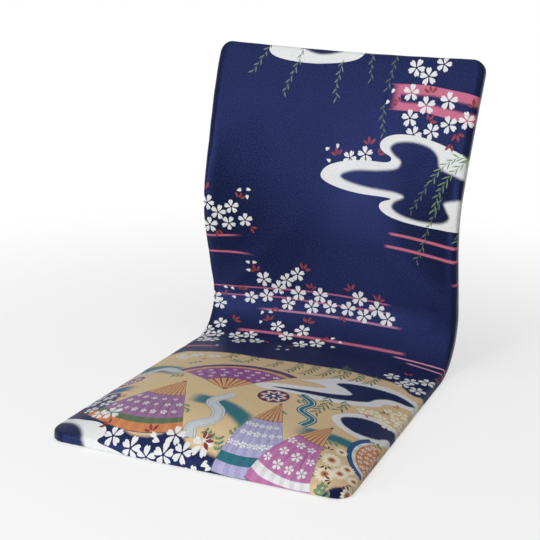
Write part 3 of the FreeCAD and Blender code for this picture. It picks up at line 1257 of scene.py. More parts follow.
@dataclass(frozen=True)
class SeatPrint:
    """The print on the seat: fans, ribbons, thread balls and flowers on a gold ground."""

    gold_edge: Places = (
        (-240, 255), (-200, 272), (-186, 300), (-168, 316), (-150, 314), (-120, 316), (-84, 314),
        (-60, 309), (-34, 309), (-6, 313), (23, 315), (44, 317), (74, 323), (107, 319), (138, 321),
        (160, 312), (178, 300), (240, 294),
    )
    front_edge: Places = (
        (240, 22), (206, 12), (188, 8), (174, -2), (166, -14), (158, -60), (60, -60), (50, -16), (44, 4),
        (12, 10), (-9, 12), (-22, 22), (-40, 26), (-60, 16), (-87, 14), (-110, 22), (-130, 26),
        (-142, 50), (-150, 80), (-158, 112), (-176, 128), (-240, 138),
    )
    mist: Sequence[Motif] = (
        MistLine([(-240, 232), (-176, 226), (-128, 204), (-96, 184)], 40.0, (0.0, 40.0), **TEAL_ON_GOLD),
        MistLine([(-58, 108), (-8, 100), (28, 78), (56, 52)], 34.0, (20.0, 20.0), **TEAL_ON_GOLD),
        MistLine([(96, 76), (132, 88), (172, 96), (240, 92)], 26.0, (24.0, 0.0), **TEAL_ON_GOLD),
        MistLine([(-240, 140), (-190, 138), (-140, 128)], 30.0, (0.0, 30.0), Ink.BLUE, Ink.GOLD),
    )
    clouds: Sequence[Motif] = (
        Cloud(
            (
                (44, 232), (62, 250), (78, 274), (107, 283), (139, 295), (166, 292), (186, 284),
                (240, 276), (240, 252), (192, 254), (176, 250), (160, 238), (156, 222), (142, 204),
                (126, 190), (92, 174), (60, 174), (14, 172), (2, 184), (24, 198), (60, 208), (84, 222),
                (66, 232),
            ),
            (
                (24, 182), (66, 194), (98, 206), (118, 224), (106, 238), (88, 248), (98, 262), (128, 275),
                (162, 281), (188, 272), (184, 265), (160, 258), (146, 240), (142, 224), (128, 208),
                (104, 192), (66, 184),
            ),
            softness=2.0,
        ),
        Cloud(
            (
                (124, 140), (130, 158), (152, 182), (184, 190), (240, 186), (240, 148), (204, 150),
                (190, 132), (166, 120), (140, 124),
            ),
            (
                (134, 146), (140, 158), (158, 173), (184, 180), (250, 177), (250, 158), (198, 158),
                (182, 140), (162, 130), (144, 133),
            ),
            softness=2.0,
        ),
    )
    ribbons: Sequence[Motif] = (
        Ribbon([(-184, 196), (-152, 216), (-118, 198), (-92, 214), (-66, 240)], 15.0, Ink.PAPER),
        Ribbon([(-6, 134), (-22, 104), (-2, 80), (2, 56), (-18, 40), (-14, 22)], 16.0, Ink.PAPER),
        Ribbon([(68, 176), (90, 158), (86, 132), (108, 116), (104, 92)], 11.0, Ink.TEAL, trim=Ink.WHITE),
    )
    fans: Sequence[Motif] = (
        FoldingFan(-26, 144, 112.0, 12.0, 92.0, Ink.MAGENTA, (Ink.PLUM, Ink.AMBER), sprig_radius=4.0),
        FoldingFan(-86, 158, 140.0, 174.0, 62.0, Ink.MAUVE, pleats=18),
        FoldingFan(58, 138, 148.0, 186.0, 36.0, Ink.LAVENDER, (Ink.LAVENDER, Ink.TEAL), pleats=12),
        FoldingFan(136, 118, 140.0, 170.0, 36.0, Ink.ROSE, (Ink.ROSE, Ink.WHITE), sprig_radius=6.4,
                   rows=((0.5, 3), (0.64, 3), (0.77, 4)), pleats=12),
        FoldingFan(226, 96, 60.0, 104.0, 100.0, Ink.ORANGE, (Ink.BLUE, Ink.WHITE), sprig_radius=3.4,
                   pleats=10),
        ThreadBall(40, 152, 20.0, (Ink.INK_LINE, Ink.ORANGE, Ink.WHITE)),
        ThreadBall(-176, 172, 17.0, (Ink.PLUM, Ink.ORANGE, Ink.WHITE)),
    )
    willow_tips: Sequence[Aimed] = (
        (-92, 322, 34), (-58, 318, 44), (-20, 316, 46), (10, 320, 58), (32, 322, 60), (54, 324, 56),
        (76, 330, 52), (96, 326, 46), (116, 330, 44), (100, 196, 60), (120, 200, 36), (66, 346, 40),
    )
    twigs: Sequence[Aimed] = (
        (30, 12, 20), (46, -14, 10), (32, 36, -30), (18, 26, 60), (-44, 84, 160), (-34, 70, 120),
        (60, 98, -40), (146, 52, 40), (142, 28, -10), (150, 6, 20), (160, -12, -30), (180, -10, 60),
        (136, 74, -60), (-134, 190, -40), (-98, 178, 100), (-160, 160, 20), (70, 150, -50),
        (-60, 268, 60), (176, 118, -50), (-186, 232, -80), (28, 220, 60), (-128, 240, -50),
    )
    daisies: Sequence[Aimed] = (
        (164, 71, 8), (161, 47, 13), (178, 30, 11), (163, 20, 13), (182, 44, 10), (202, 4, 12),
        (196, 28, 9),
    )
    pale_blossoms: Places = (
        (147, 191), (160, 199), (173, 194), (172, 222), (184, 212), (186, 232), (197, 226), (192, 202),
        (180, 184),
    )
    far_blossoms: Places = ((-164, 292), (-140, 294), (-152, 278), (-112, 290))
    brown_leaves: Sequence[Aimed] = (
        (151, 62, 20), (159, 34, 200), (174, 14, 120), (190, 14, 240), (170, 210, 40),
    )
    orange_leaves: Sequence[Aimed] = ((178, 244, 70), (150, 186, 250), (-122, 268, -60))
    corner_cloud: Motif = Cloud(
        (
            (-240, 44), (-190, 38), (-162, 30), (-142, 26), (-126, 18), (-123, 8), (-128, 0), (-104, -6),
            (-86, -12), (-72, -24), (-64, -60), (-240, -60),
        ),
        (
            (-250, 28), (-194, 26), (-176, 22), (-160, 12), (-150, -2), (-148, -20), (-154, -60),
            (-250, -60),
        ),
        softness=7.0,
    )
    front_blossoms: Places = (
        (-111, 9), (-82, 0), (-60, -7), (-37, 0), (-32, 22), (-14, 5), (7, 17), (3, -18), (-134, 46),
    )
    front_petals: Places = (
        (-58, 17), (-52, 12), (17, -2), (22, -6), (30, -22), (34, -17), (-96, -16), (-30, -20),
    )
    left_blossoms: Places = (
        (-150, 44), (-172, 60), (-186, 88), (-170, 104), (-192, 112), (-160, 78),
    )
    front_leaves: Sequence[Aimed] = (
        (-125, 22, 60, 3), (-64, 20, 30, 3), (6, 22, -60, 4, 12), (-15, -20, 10, 2), (-148, 94, 20, 2),
    )

    def motifs(self) -> list[Motif]:
        """Everything on the seat.

        Returns:
            The motifs, lowest first.
        """
        far_willows: list[Motif] = []
        for x, run, reach in self.willow_tips:
            line = ((x, run), (x + 5, run - reach * 0.5), (x + 3, run - reach))
            far_willows.append(WillowStrand(line, 15.0, 5.0, 3.0, Ink.MOSS))
        return [
            GoldGround((*self.gold_edge, *self.front_edge)), *self.mist, *self.clouds, *far_willows,
            *(Leaflets(*twig) for twig in self.twigs), *self.ribbons, *self.fans,
            *(Daisy(*daisy) for daisy in self.daisies), Spray(9.0, self.pale_blossoms, Ink.CREAM),
            Spray(10.0, self.far_blossoms),
            *(LeafSprig(*leaf, 3, 7.0, Ink.BROWN) for leaf in self.brown_leaves),
            *(LeafSprig(*leaf, 2, 9.0, Ink.ORANGE) for leaf in self.orange_leaves), self.corner_cloud,
            Spray(13.2, self.front_blossoms), LoosePetals(self.front_petals, 9.0),
            Spray(10.5, self.left_blossoms), *(LeafSprig(*leaf) for leaf in self.front_leaves),
        ]


# Cutting and laying the cloth

@dataclass
class FlatCut:
    """A flat cut of cloth, split into triangles that follow its seams and its print."""

    edge: Points
    seams: Sequence[Points]
    loose: Points
    patches: Sequence[Patch] = ()
    merge: float = 0.0001

    def split(self) -> tuple[Points, Values, Values]:
        """Split the cut into triangles.

        Returns:
            The flat points, the triangles, and for each triangle the number of its uppermost patch.
        """
        corners: list[Points] = [anticlockwise(self.edge)]
        corners += [anticlockwise(patch.outline) for patch in self.patches]
        starts = np.cumsum([0, *[len(shape) for shape in corners]])
        faces = [list(range(first, last)) for first, last in zip(starts[:-1], starts[1:])]
        total = int(starts[-1])
        edges = []
        for seam in self.seams:
            numbers = list(range(total, total + len(seam)))
            edges += list(zip(numbers, [*numbers[1:], numbers[0]]))
            total += len(seam)
        fillings = [patch.filling() for patch in self.patches]
        points = np.vstack([*corners, *self.seams, self.loose, *fillings])
        flat = [Vector((float(x), float(run))) for x, run in points]
        found = delaunay_2d_cdt(flat, edges, faces, 0, self.merge, True)
        places, triangles, owners = found[0], found[2], found[5]
        kept = [(face, max(own)) for face, own in zip(triangles, owners) if 0 in own]
        used, numbers = np.unique([face for face, _ in kept], return_inverse=True)
        tops = np.array([top for _, top in kept]) - 1
        return np.array([tuple(place) for place in places])[used], numbers.reshape(-1, 3), tops


def anticlockwise(outline: Points) -> Points:
    """An outline whose points go counter-clockwise."""
    return outline if signed_area(outline) > 0 else outline[::-1]


def grid_inside(outline: Outline, depth: float, spacing: float) -> Points:
    """An even grid of flat points at least this deep inside an outline.

    Args:
        outline: the outline.
        depth: the least distance from it.
        spacing: the distance from point to point.

    Returns:
        Rows of x and run.
    """
    sheet = outline.sheet
    half = max(sheet.front_width, sheet.top_width) / 2
    across = np.arange(-half, half + 0.1, spacing)
    runs = np.arange(0.0, sheet.total, spacing)
    shift = (np.arange(len(runs)) % 2)[:, None] * spacing / 2
    grid = np.stack([across[None, :] + shift, np.tile(runs[:, None], (1, len(across)))], -1)
    grid = grid.reshape(-1, 2)
    return grid[outline.split(grid)[0] < -depth]


def vertex_normals(points: Points, faces: Values) -> Points:
    """The outward direction at each point of a mesh of triangles.

    Args:
        points: rows of x, y and z.
        faces: the points of each triangle.

    Returns:
        One direction of length 1 for each point.
    """
    a, b, c = (points[faces[:, corner]] for corner in range(3))
    flat = np.cross(b - a, c - a)
    found = np.zeros_like(points)
    for corner in range(3):
        np.add.at(found, faces[:, corner], flat)
    return found / np.maximum(np.linalg.norm(found, axis=1), 1e-12)[:, None]


def mesh_object(name: str, points: Points, faces: Sequence[Sequence[int]]) -> Object:
    """A new smooth mesh object at the origin.

    Args:
        name: the piece's name.
        points: rows of x, y and z in millimetres.
        faces: the point numbers of each face.

    Returns:
        The object, linked to the scene.
    """
    mesh = bpy.data.meshes.new(name)
    mesh.from_pydata((points * METRES).tolist(), [], [list(map(int, face)) for face in faces])
    mesh.update()
    mesh.polygons.foreach_set("use_smooth", [True] * len(mesh.polygons))
    made = bpy.data.objects.new(name, mesh)
    bpy.context.scene.collection.objects.link(made)
    return made


def apply_modifier(obj: Object, kind: str, **settings: float) -> None:
    """Add a modifier to an object and apply it.

    Args:
        obj: a mesh object.
        kind: the modifier's type.
        settings: its settings.
    """
    bpy.ops.object.select_all(action="DESELECT")
    bpy.context.view_layer.objects.active = obj
    obj.select_set(True)
    modifier = obj.modifiers.new(kind.title(), kind)
    for name, value in settings.items():
        setattr(modifier, name, value)
    bpy.ops.object.modifier_apply(modifier=modifier.name)
    obj.select_set(False)


def flat_map(obj: Object, flat: Points) -> None:
    """Give a mesh its flat cloth coordinates as a UV map, in metres.

    Args:
        obj: a mesh object.
        flat: x and run for each of its points, in millimetres.
    """
    layer = obj.data.uv_layers.new(name="cloth")
    numbers = np.zeros(len(obj.data.loops), int)
    obj.data.loops.foreach_get("vertex_index", numbers)
    corner = flat[numbers] * METRES + MAP_ORIGIN
    layer.data.foreach_set("uv", corner.ravel())


@dataclass
class Billow:
    """How far the padding pushes the cloth out: a share of a cloth simulation on a coarse sheet."""

    skin: Skin
    columns: int = 57
    rows: int = 123
    frames: int = 20
    pressure: float = 4.0
    start_depth: float = 1.6
    share: float = 0.4
    lowest: float = -0.2
    highest: float = 1.4
    evening: int = 24
    edge_inset: float = 6.0
    top_inset: float = 8.0
    across_power: int = 6
    along_power: int = 10
    mass: float = 0.2
    stiffness: float = 18.0
    bending: float = 0.4

    def __post_init__(self) -> None:
        """Work out the coarse sheet's rows and their half widths."""
        outline, sheet = self.skin.outline, self.skin.sheet
        self.runs = np.linspace(self.edge_inset, sheet.total - self.top_inset, self.rows)
        front = corner_drop(self.runs, outline.front_corner)
        top = corner_drop(sheet.total - self.runs, outline.top_corner)
        self.halves = sheet.side(self.runs) - front - top - self.edge_inset

    def simulate(self) -> None:
        """Blow the coarse sheet out against its fixed edge and keep the heights."""
        x = self.halves[:, None] * np.linspace(-1.0, 1.0, self.columns)
        flat = np.column_stack([x.ravel(), np.repeat(self.runs, self.columns)])
        base = self.skin.lay(flat)
        numbers = np.arange(self.rows * self.columns).reshape(self.rows, self.columns)
        quads = np.stack([numbers[:-1, :-1], numbers[:-1, 1:], numbers[1:, 1:], numbers[1:, :-1]], -1)
        quads = quads.reshape(-1, 4)
        out = vertex_normals(base, quads[:, :3])
        window = self.window()
        lowered = base - out * (window * self.start_depth)[:, None]
        sheet = mesh_object("billow_sheet", lowered, quads)
        held = sheet.vertex_groups.new(name="held")
        held.add([int(number) for number in np.flatnonzero(window <= 0.0)], 1.0, "REPLACE")
        self.blow(sheet)
        evaluated = sheet.evaluated_get(bpy.context.evaluated_depsgraph_get())
        moved = np.zeros(len(evaluated.data.vertices) * 3)
        evaluated.data.vertices.foreach_get("co", moved)
        rise = np.sum((moved.reshape(-1, 3) / METRES - base) * out, axis=1)
        even = self.evened(rise.reshape(self.rows, self.columns))
        self.heights = np.clip(even * self.share, self.lowest, self.highest)
        bpy.data.objects.remove(sheet)
        bpy.context.scene.frame_set(1)

    def evened(self, rise: Values) -> Values:
        """The heights with the narrow folds taken out, which the foam under the cloth fills.

        Args:
            rise: heights of the coarse sheet, row by row.

        Returns:
            The same rows, evened.
        """
        for _ in range(self.evening):
            wide = np.pad(rise, 1, mode="edge")
            rise = (wide[:-2, 1:-1] + wide[2:, 1:-1] + wide[1:-1, :-2] + wide[1:-1, 2:]) / 8 + rise / 2
        return rise

    def window(self) -> Values:
        """A weight that falls to 0 at the fixed edge of the sheet.

        Returns:
            One weight for each point of the sheet.
        """
        across = 1 - np.abs(np.linspace(-1.0, 1.0, self.columns)) ** self.across_power
        along = 1 - np.abs(np.linspace(-1.0, 1.0, self.rows)) ** self.along_power
        return (along[:, None] * across[None, :]).ravel()

    def blow(self, sheet: Object) -> None:
        """Run the cloth simulation on the coarse sheet.

        Args:
            sheet: the sheet, with its held edge as a vertex group.
        """
        cloth = sheet.modifiers.new("Cloth", "CLOTH")
        settings = cloth.settings
        settings.vertex_group_mass = "held"
        settings.quality = 5
        settings.mass = self.mass
        settings.tension_stiffness = self.stiffness
        settings.compression_stiffness = self.stiffness
        settings.bending_stiffness = self.bending
        settings.use_pressure = True
        settings.uniform_pressure_force = self.pressure
        settings.effector_weights.gravity = 0.0
        cloth.collision_settings.use_collision = False
        scene = bpy.context.scene
        cloth.point_cache.frame_start = 1
        cloth.point_cache.frame_end = self.frames
        for frame in range(1, self.frames + 1):
            scene.frame_set(frame)

    def lift(self, flat: Points) -> Values:
        """How far out each flat point goes, in millimetres.

        Args:
            flat: rows of x and run.

        Returns:
            One height for each point.
        """
        run = np.clip(flat[:, 1], self.runs[0], self.runs[-1])
        half = np.interp(run, self.runs, self.halves)
        share = np.clip(flat[:, 0] / half, -1.0, 1.0)
        row = (run - self.runs[0]) / (self.runs[-1] - self.runs[0]) * (self.rows - 1)
        column = (share + 1) / 2 * (self.columns - 1)
        row_low = np.minimum(row.astype(int), self.rows - 2)
        column_low = np.minimum(column.astype(int), self.columns - 2)
        up, over = row - row_low, column - column_low
        grid = self.heights
        near = grid[row_low, column_low] * (1 - over) + grid[row_low, column_low + 1] * over
        far = grid[row_low + 1, column_low] * (1 - over) + grid[row_low + 1, column_low + 1] * over
        return near * (1 - up) + far * up


def corner_drop(past_end: Values, radius: float) -> Values:
    """How far a rounded corner lies inside its square one."""
    left = np.clip(radius - past_end, 0.0, radius)
    return radius - np.sqrt(radius ** 2 - left ** 2)


@dataclass(frozen=True)
class Creases:
    """Fine creases across the cloth where the bend squeezes it, strongest at their middle."""

    x: float
    run: float
    half_width: float
    half_run: float
    spacing: float
    height: float

    def lift(self, flat: Points) -> Values:
        """How far out each flat point goes, in millimetres.

        Args:
            flat: rows of x and run.

        Returns:
            One height for each point.
        """
        across = np.abs(flat[:, 0] - self.x) / self.half_width
        along = np.abs(flat[:, 1] - self.run) / self.half_run
        window = smoothstep(1 - across) * smoothstep(1 - along)
        found = np.zeros(len(flat))
        for number in np.flatnonzero(window > 0.0):
            x, run = flat[number]
            wander = noise.noise(Vector((x / 26, run / 18, self.run)))
            depth = 0.6 + 0.8 * noise.noise(Vector((x / 15, run / 9, self.x)))
            phase = (run / self.spacing + 0.9 * wander + x * 0.006) * math.tau
            found[number] = self.height * depth * window[number] * (0.5 + 0.5 * math.cos(phase))
        return found


@dataclass
class PrintedCover:
    """The printed satin cover: over the foam, round the wood's edge and hemmed on the rear."""

    padding: Padding
    grow: float = 0.9
    thickness: float = 0.6
    grid: float = 6.0
    grid_depth: float = 7.0
    crease_grid: Place = (4.0, 1.4)
    crease_depth: float = 5.5
    lump_height: float = 0.35
    pull_height: float = 0.14
    staple_pitch: float = 42.0
    creases: Sequence[Creases] = (
        Creases(-186.0, 452.0, 62.0, 58.0, 5.6, 0.55),
        Creases(184.0, 440.0, 52.0, 50.0, 5.8, 0.45),
        Creases(0.0, 462.0, 230.0, 34.0, 9.0, 0.10),
    )
    gather_count: int = 5
    gather_height: float = 0.5

    def __post_init__(self) -> None:
        """Make the face that the cloth is laid on."""
        self.skin = Skin(self.padding, self.grow)

    def build(self, finish: "SatinFinish") -> Object:
        """Cut, print, lay and finish the cover.

        Args:
            finish: the cloth's material.

        Returns:
            The finished piece.
        """
        motifs = [*SeatPrint().motifs(), *BackPrint().motifs()]
        patches = [patch for motif in motifs for patch in motif.patches()]
        flat, faces, tops = self.cut(patches).split()
        points = self.skin.lay(flat)
        out = vertex_normals(points, faces)
        points = points + out * self.relief(flat)[:, None]
        cover = mesh_object("printed_cover", points, faces)
        flat_map(cover, flat)
        self.colour(cover, patches, flat, faces, tops)
        apply_modifier(cover, "SOLIDIFY", thickness=self.thickness * METRES, offset=-1.0)
        cover.data.materials.append(finish.material())
        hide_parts("front_cover")
        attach(cover, "root")
        return cover

    def cut(self, patches: Sequence[Patch]) -> FlatCut:
        """The cloth's flat cut, with rings where it goes over the edge.

        Args:
            patches: the print, lowest first.

        Returns:
            The cut.
        """
        skin = self.skin
        stages = (
            (0.0, 0.0, 0.0, 0.0), (0.25, 0.0, 0.0, 0.0), (0.5, 0.0, 0.0, 0.0), (0.75, 0.0, 0.0, 0.0),
            (1.0, 0.0, 0.0, 0.0), (1.0, 0.33, 0.0, 0.0), (1.0, 0.66, 0.0, 0.0), (1.0, 1.0, 0.0, 0.0),
            (1.0, 1.0, 0.5, 0.0), (1.0, 1.0, 1.0, 0.0), (1.0, 1.0, 1.0, 0.35), (1.0, 1.0, 1.0, 0.7),
        )
        rings = [skin.ring(stage) for stage in stages]
        edge = skin.ring((1.0, 1.0, 1.0, 1.0))
        loose = np.vstack([grid_inside(skin.outline, self.grid_depth, self.grid), *self.fine_points()])
        return FlatCut(edge, rings, loose, patches)

    def fine_points(self) -> list[Points]:
        """Extra flat points where the creases are.

        Returns:
            Rows of x and run for each crease.
        """
        found = []
        across, along = self.crease_grid
        for crease in self.creases[:2]:
            half = (crease.half_width, crease.half_run)
            middle = (crease.x, crease.run)
            grid = even_grid(np.subtract(middle, half), np.add(middle, half), across, along)
            found.append(grid[self.skin.outline.split(grid)[0] < -self.crease_depth])
        return found

    def relief(self, flat: Points) -> Values:
        """How far the cloth stands out from its even form, in millimetres.

        Args:
            flat: rows of x and run.

        Returns:
            One height for each point.
        """
        distance, out = self.skin.outline.split(flat)
        lift = sum(crease.lift(flat) for crease in self.creases)
        lift = lift * smoothstep(-distance / 9 + 0.4)
        lumps = np.array([noise.noise(Vector((x / 70, run / 90, 3.0))) for x, run in flat])
        lift = lift + self.lump_height * lumps * smoothstep(-distance / 30)
        lift = lift + self.gathers(distance, out) + self.pulls(flat, distance)
        billow = Billow(self.skin)
        billow.simulate()
        LOG.info("billow from %.2f to %.2f mm", billow.heights.min(), billow.heights.max())
        lift = lift + billow.lift(flat) * smoothstep(-distance / 6 - 0.6)
        return lift

    def gathers(self, distance: Values, out: Points) -> Values:
        """Small gathers where the cloth is drawn round the corners.

        Args:
            distance: how far each point lies outside the outline.
            out: the outward directions.

        Returns:
            One height for each point.
        """
        sideways, lengthways = np.abs(out).T
        angle = np.arctan2(lengthways, sideways)
        folds = np.abs(np.sin(angle * self.gather_count * 2)) * np.sin(angle * 2)
        reach = smoothstep((distance + 4) / 12) * (1 - 0.6 * smoothstep((distance - 10) / 8))
        return np.where(on_corner(out), folds * reach * self.gather_height, 0.0)

    def pulls(self, flat: Points, distance: Values) -> Values:
        """Faint waves along the edge between the staples."""
        wave = np.cos((flat[:, 0] * 0.83 + flat[:, 1]) * math.tau / self.staple_pitch)
        return self.pull_height * wave * np.exp(-((distance - 2) / 7) ** 2)

    def colour(self, cover: Object, patches: Sequence[Patch], flat: Points,
               faces: Values, tops: Values) -> None:
        """Print the cover: each triangle's corners take their colours from its uppermost patch.

        Args:
            cover: the cover's object.
            patches: the print, lowest first.
            flat: x and run of the cover's points.
            faces: its triangles.
            tops: the number of each triangle's uppermost patch.
        """
        shades = np.tile(Ink.NAVY.linear, (len(faces) * 3, 1))
        order = np.argsort(tops, kind="stable")
        ends = np.searchsorted(tops[order], np.arange(len(patches) + 1))
        for number, patch in enumerate(patches):
            found = order[ends[number]:ends[number + 1]]
            if len(found):
                corners = (found[:, None] * 3 + np.arange(3)).ravel()
                shades[corners] = patch.tone.colours(flat[faces[found]].reshape(-1, 2))
        layer = cover.data.color_attributes.new("print", "FLOAT_COLOR", "CORNER")
        opaque = np.column_stack([shades, np.ones(len(shades))])
        layer.data.foreach_set("color", opaque.ravel())


@dataclass
class FoamPad:
    """One stretch of the foam, a closed form between its face and the wood."""

    padding: Padding
    name: str
    node: str
    first: float
    last: float
    grow: float = -0.15
    gap: float = 0.3
    grid: float = 11.0
    grid_depth: float = 8.0
    clearance: float = 3.0
    end_reach: float = 6.0
    end_points: int = 40

    def build(self, finish: "FoamFinish") -> Object:
        """Shape the pad and give it its material.

        Args:
            finish: the foam's material.

        Returns:
            The finished piece.
        """
        skin = Skin(self.padding, self.grow)
        rings = [skin.ring((share, 0.0, 0.0, 0.0)) for share in (0.0, 0.35, 0.7)]
        edge = skin.ring((1.0, 0.0, 0.0, 0.0))
        loose = grid_inside(skin.outline, self.grid_depth, self.grid)
        parts = [self.within(ring) for ring in rings]
        flat, faces, _ = FlatCut(self.clipped(edge), [], np.vstack([*parts, self.within(loose)])).split()
        upper = skin.lay(flat)
        distance, out = skin.outline.split(flat)
        roll = self.padding.edge_radius(flat[:, 1]) + self.grow
        turn = np.clip((distance + roll) / (roll * math.pi / 2), 0.0, 1.0) * math.pi / 2
        inward = np.where(distance > -roll, roll * (1 - np.sin(turn)) + distance, 0.0)
        base = flat - out * inward[:, None]
        sheet = self.padding.sheet
        lower = sheet.place(*base.T, sheet.level_on(*base.T, sheet.thickness + self.gap))
        pad = mesh_object(self.name, *closed_between(upper, lower, faces))
        pad.data.materials.append(finish.material())
        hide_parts(self.node)
        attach(pad, "root")
        return pad

    def within(self, points: Points) -> Points:
        """The points that lie well inside this stretch."""
        runs = points[:, 1]
        return points[(runs > self.first + self.clearance) & (runs < self.last - self.clearance)]

    def clipped(self, outline: Points) -> Points:
        """The part of a closed outline in this stretch, closed with straight lines.

        Args:
            outline: rows of x and run.

        Returns:
            The part's corners in order.
        """
        runs = outline[:, 1]
        found = [outline[(runs >= self.first) & (runs <= self.last)]]
        for run in (self.first, self.last):
            if runs.min() < run < runs.max():
                half = np.abs(outline[np.abs(runs - run) < self.end_reach][:, 0]).max()
                across = np.linspace(-half, half, self.end_points)
                found.append(np.column_stack([across, np.full_like(across, run)]))
        points = np.vstack(found)
        x, run = (points - points.mean(0)).T
        return points[np.argsort(np.arctan2(run, x))]


def closed_between(upper: Points, lower: Points, faces: Values) -> tuple[Points, list[Sequence[int]]]:
    """A closed form between two faces that share their triangles.

    Args:
        upper: points of the outer face.
        lower: points of the inner face, one for each of the outer ones.
        faces: triangles of the outer face.

    Returns:
        All points and all faces.
    """
    count = len(upper)
    border = {}
    for a, b, c in faces.tolist():
        for start, end in ((a, b), (b, c), (c, a)):
            if (end, start) in border:
                del border[(end, start)]
            else:
                border[(start, end)] = True
    walls = [(end, start, start + count, end + count) for start, end in border]
    inner = [(a + count, c + count, b + count) for a, b, c in faces.tolist()]
    return np.vstack([upper, lower]), [*faces.tolist(), *inner, *walls]


@dataclass
class RearLining:
    """The plain cloth on the rear: turned in at its edge and drawn in at each staple."""

    padding: Padding
    inset: float = 9.0
    corner: float = 16.0
    under: float = -1.8
    field_rise: float = 0.2
    hem: float = 8.0
    thickness: float = 0.35
    staple_inset: float = 13.5
    staple_corner: float = 23.0
    staple_pitch: float = 42.0
    dimple: float = 0.45
    dimple_reach: float = 5.0
    ring_depths: Sequence[float] = (1.5, 3.0, 4.5, 6.0)
    hem_slope: float = 1.6
    grid: float = 8.0
    grid_depth: float = 12.0

    def build(self, finish: "LiningFinish") -> Object:
        """Cut, lay and finish the lining.

        Args:
            finish: the cloth's material.

        Returns:
            The finished piece.
        """
        sheet = self.padding.sheet
        outline = Outline(sheet, -self.inset, self.corner, self.corner)
        foot, out = outline.loop()
        depths = (*self.ring_depths, self.hem, self.hem + self.hem_slope)
        rings = [foot - out * depth for depth in depths]
        round_staples = [disc(*place, 2.5, 10) for place in self.staple_places()]
        loose = np.vstack([grid_inside(outline, self.grid_depth, self.grid), *round_staples])
        flat, faces, _ = FlatCut(foot, rings, loose).split()
        depth = -outline.split(flat)[0]
        level = self.under + self.field_rise * smoothstep((depth - self.hem) / self.hem_slope)
        level = level + self.dimples(flat)
        rear = level + sheet.level_on(flat[:, 0], flat[:, 1], 0.0)
        points = sheet.place(flat[:, 0], flat[:, 1], rear)
        lining = mesh_object("rear_lining", points, faces[:, ::-1])
        flat_map(lining, flat)
        apply_modifier(lining, "SOLIDIFY", thickness=self.thickness * METRES, offset=-1.0)
        lining.data.materials.append(finish.material())
        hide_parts("rear_cloth")
        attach(lining, "root")
        area = abs(signed_area(foot)) * METRES ** 2
        return lining

    def staple_places(self) -> Points:
        """Where the staples hold the lining, as x and run.

        Returns:
            One row for each staple.
        """
        sheet = self.padding.sheet
        first = self.staple_inset + self.staple_corner
        length = sheet.total - 2 * first
        count = round(length / self.staple_pitch)
        runs = first + length * np.arange(count + 1) / count
        half = sheet.side(runs) - self.staple_inset
        found = [np.column_stack([sign * half, runs]) for sign in (-1, 1)]
        for run in (self.staple_inset, sheet.total - self.staple_inset):
            reach = float(sheet.side(run)) - first
            across = np.linspace(-reach, reach, round(2 * reach / self.staple_pitch) + 1)
            found.append(np.column_stack([across, np.full_like(across, run)]))
        return np.vstack(found)

    def dimples(self, flat: Points) -> Values:
        """How far each flat point is drawn in by the staples.

        Args:
            flat: rows of x and run.

        Returns:
            One depth for each point.
        """
        found = np.zeros(len(flat))
        for place in self.staple_places():
            gap = np.hypot(*(flat - place).T)
            found = np.maximum(found, self.dimple * np.exp(-(gap / self.dimple_reach) ** 2))
        return found


# Finishes

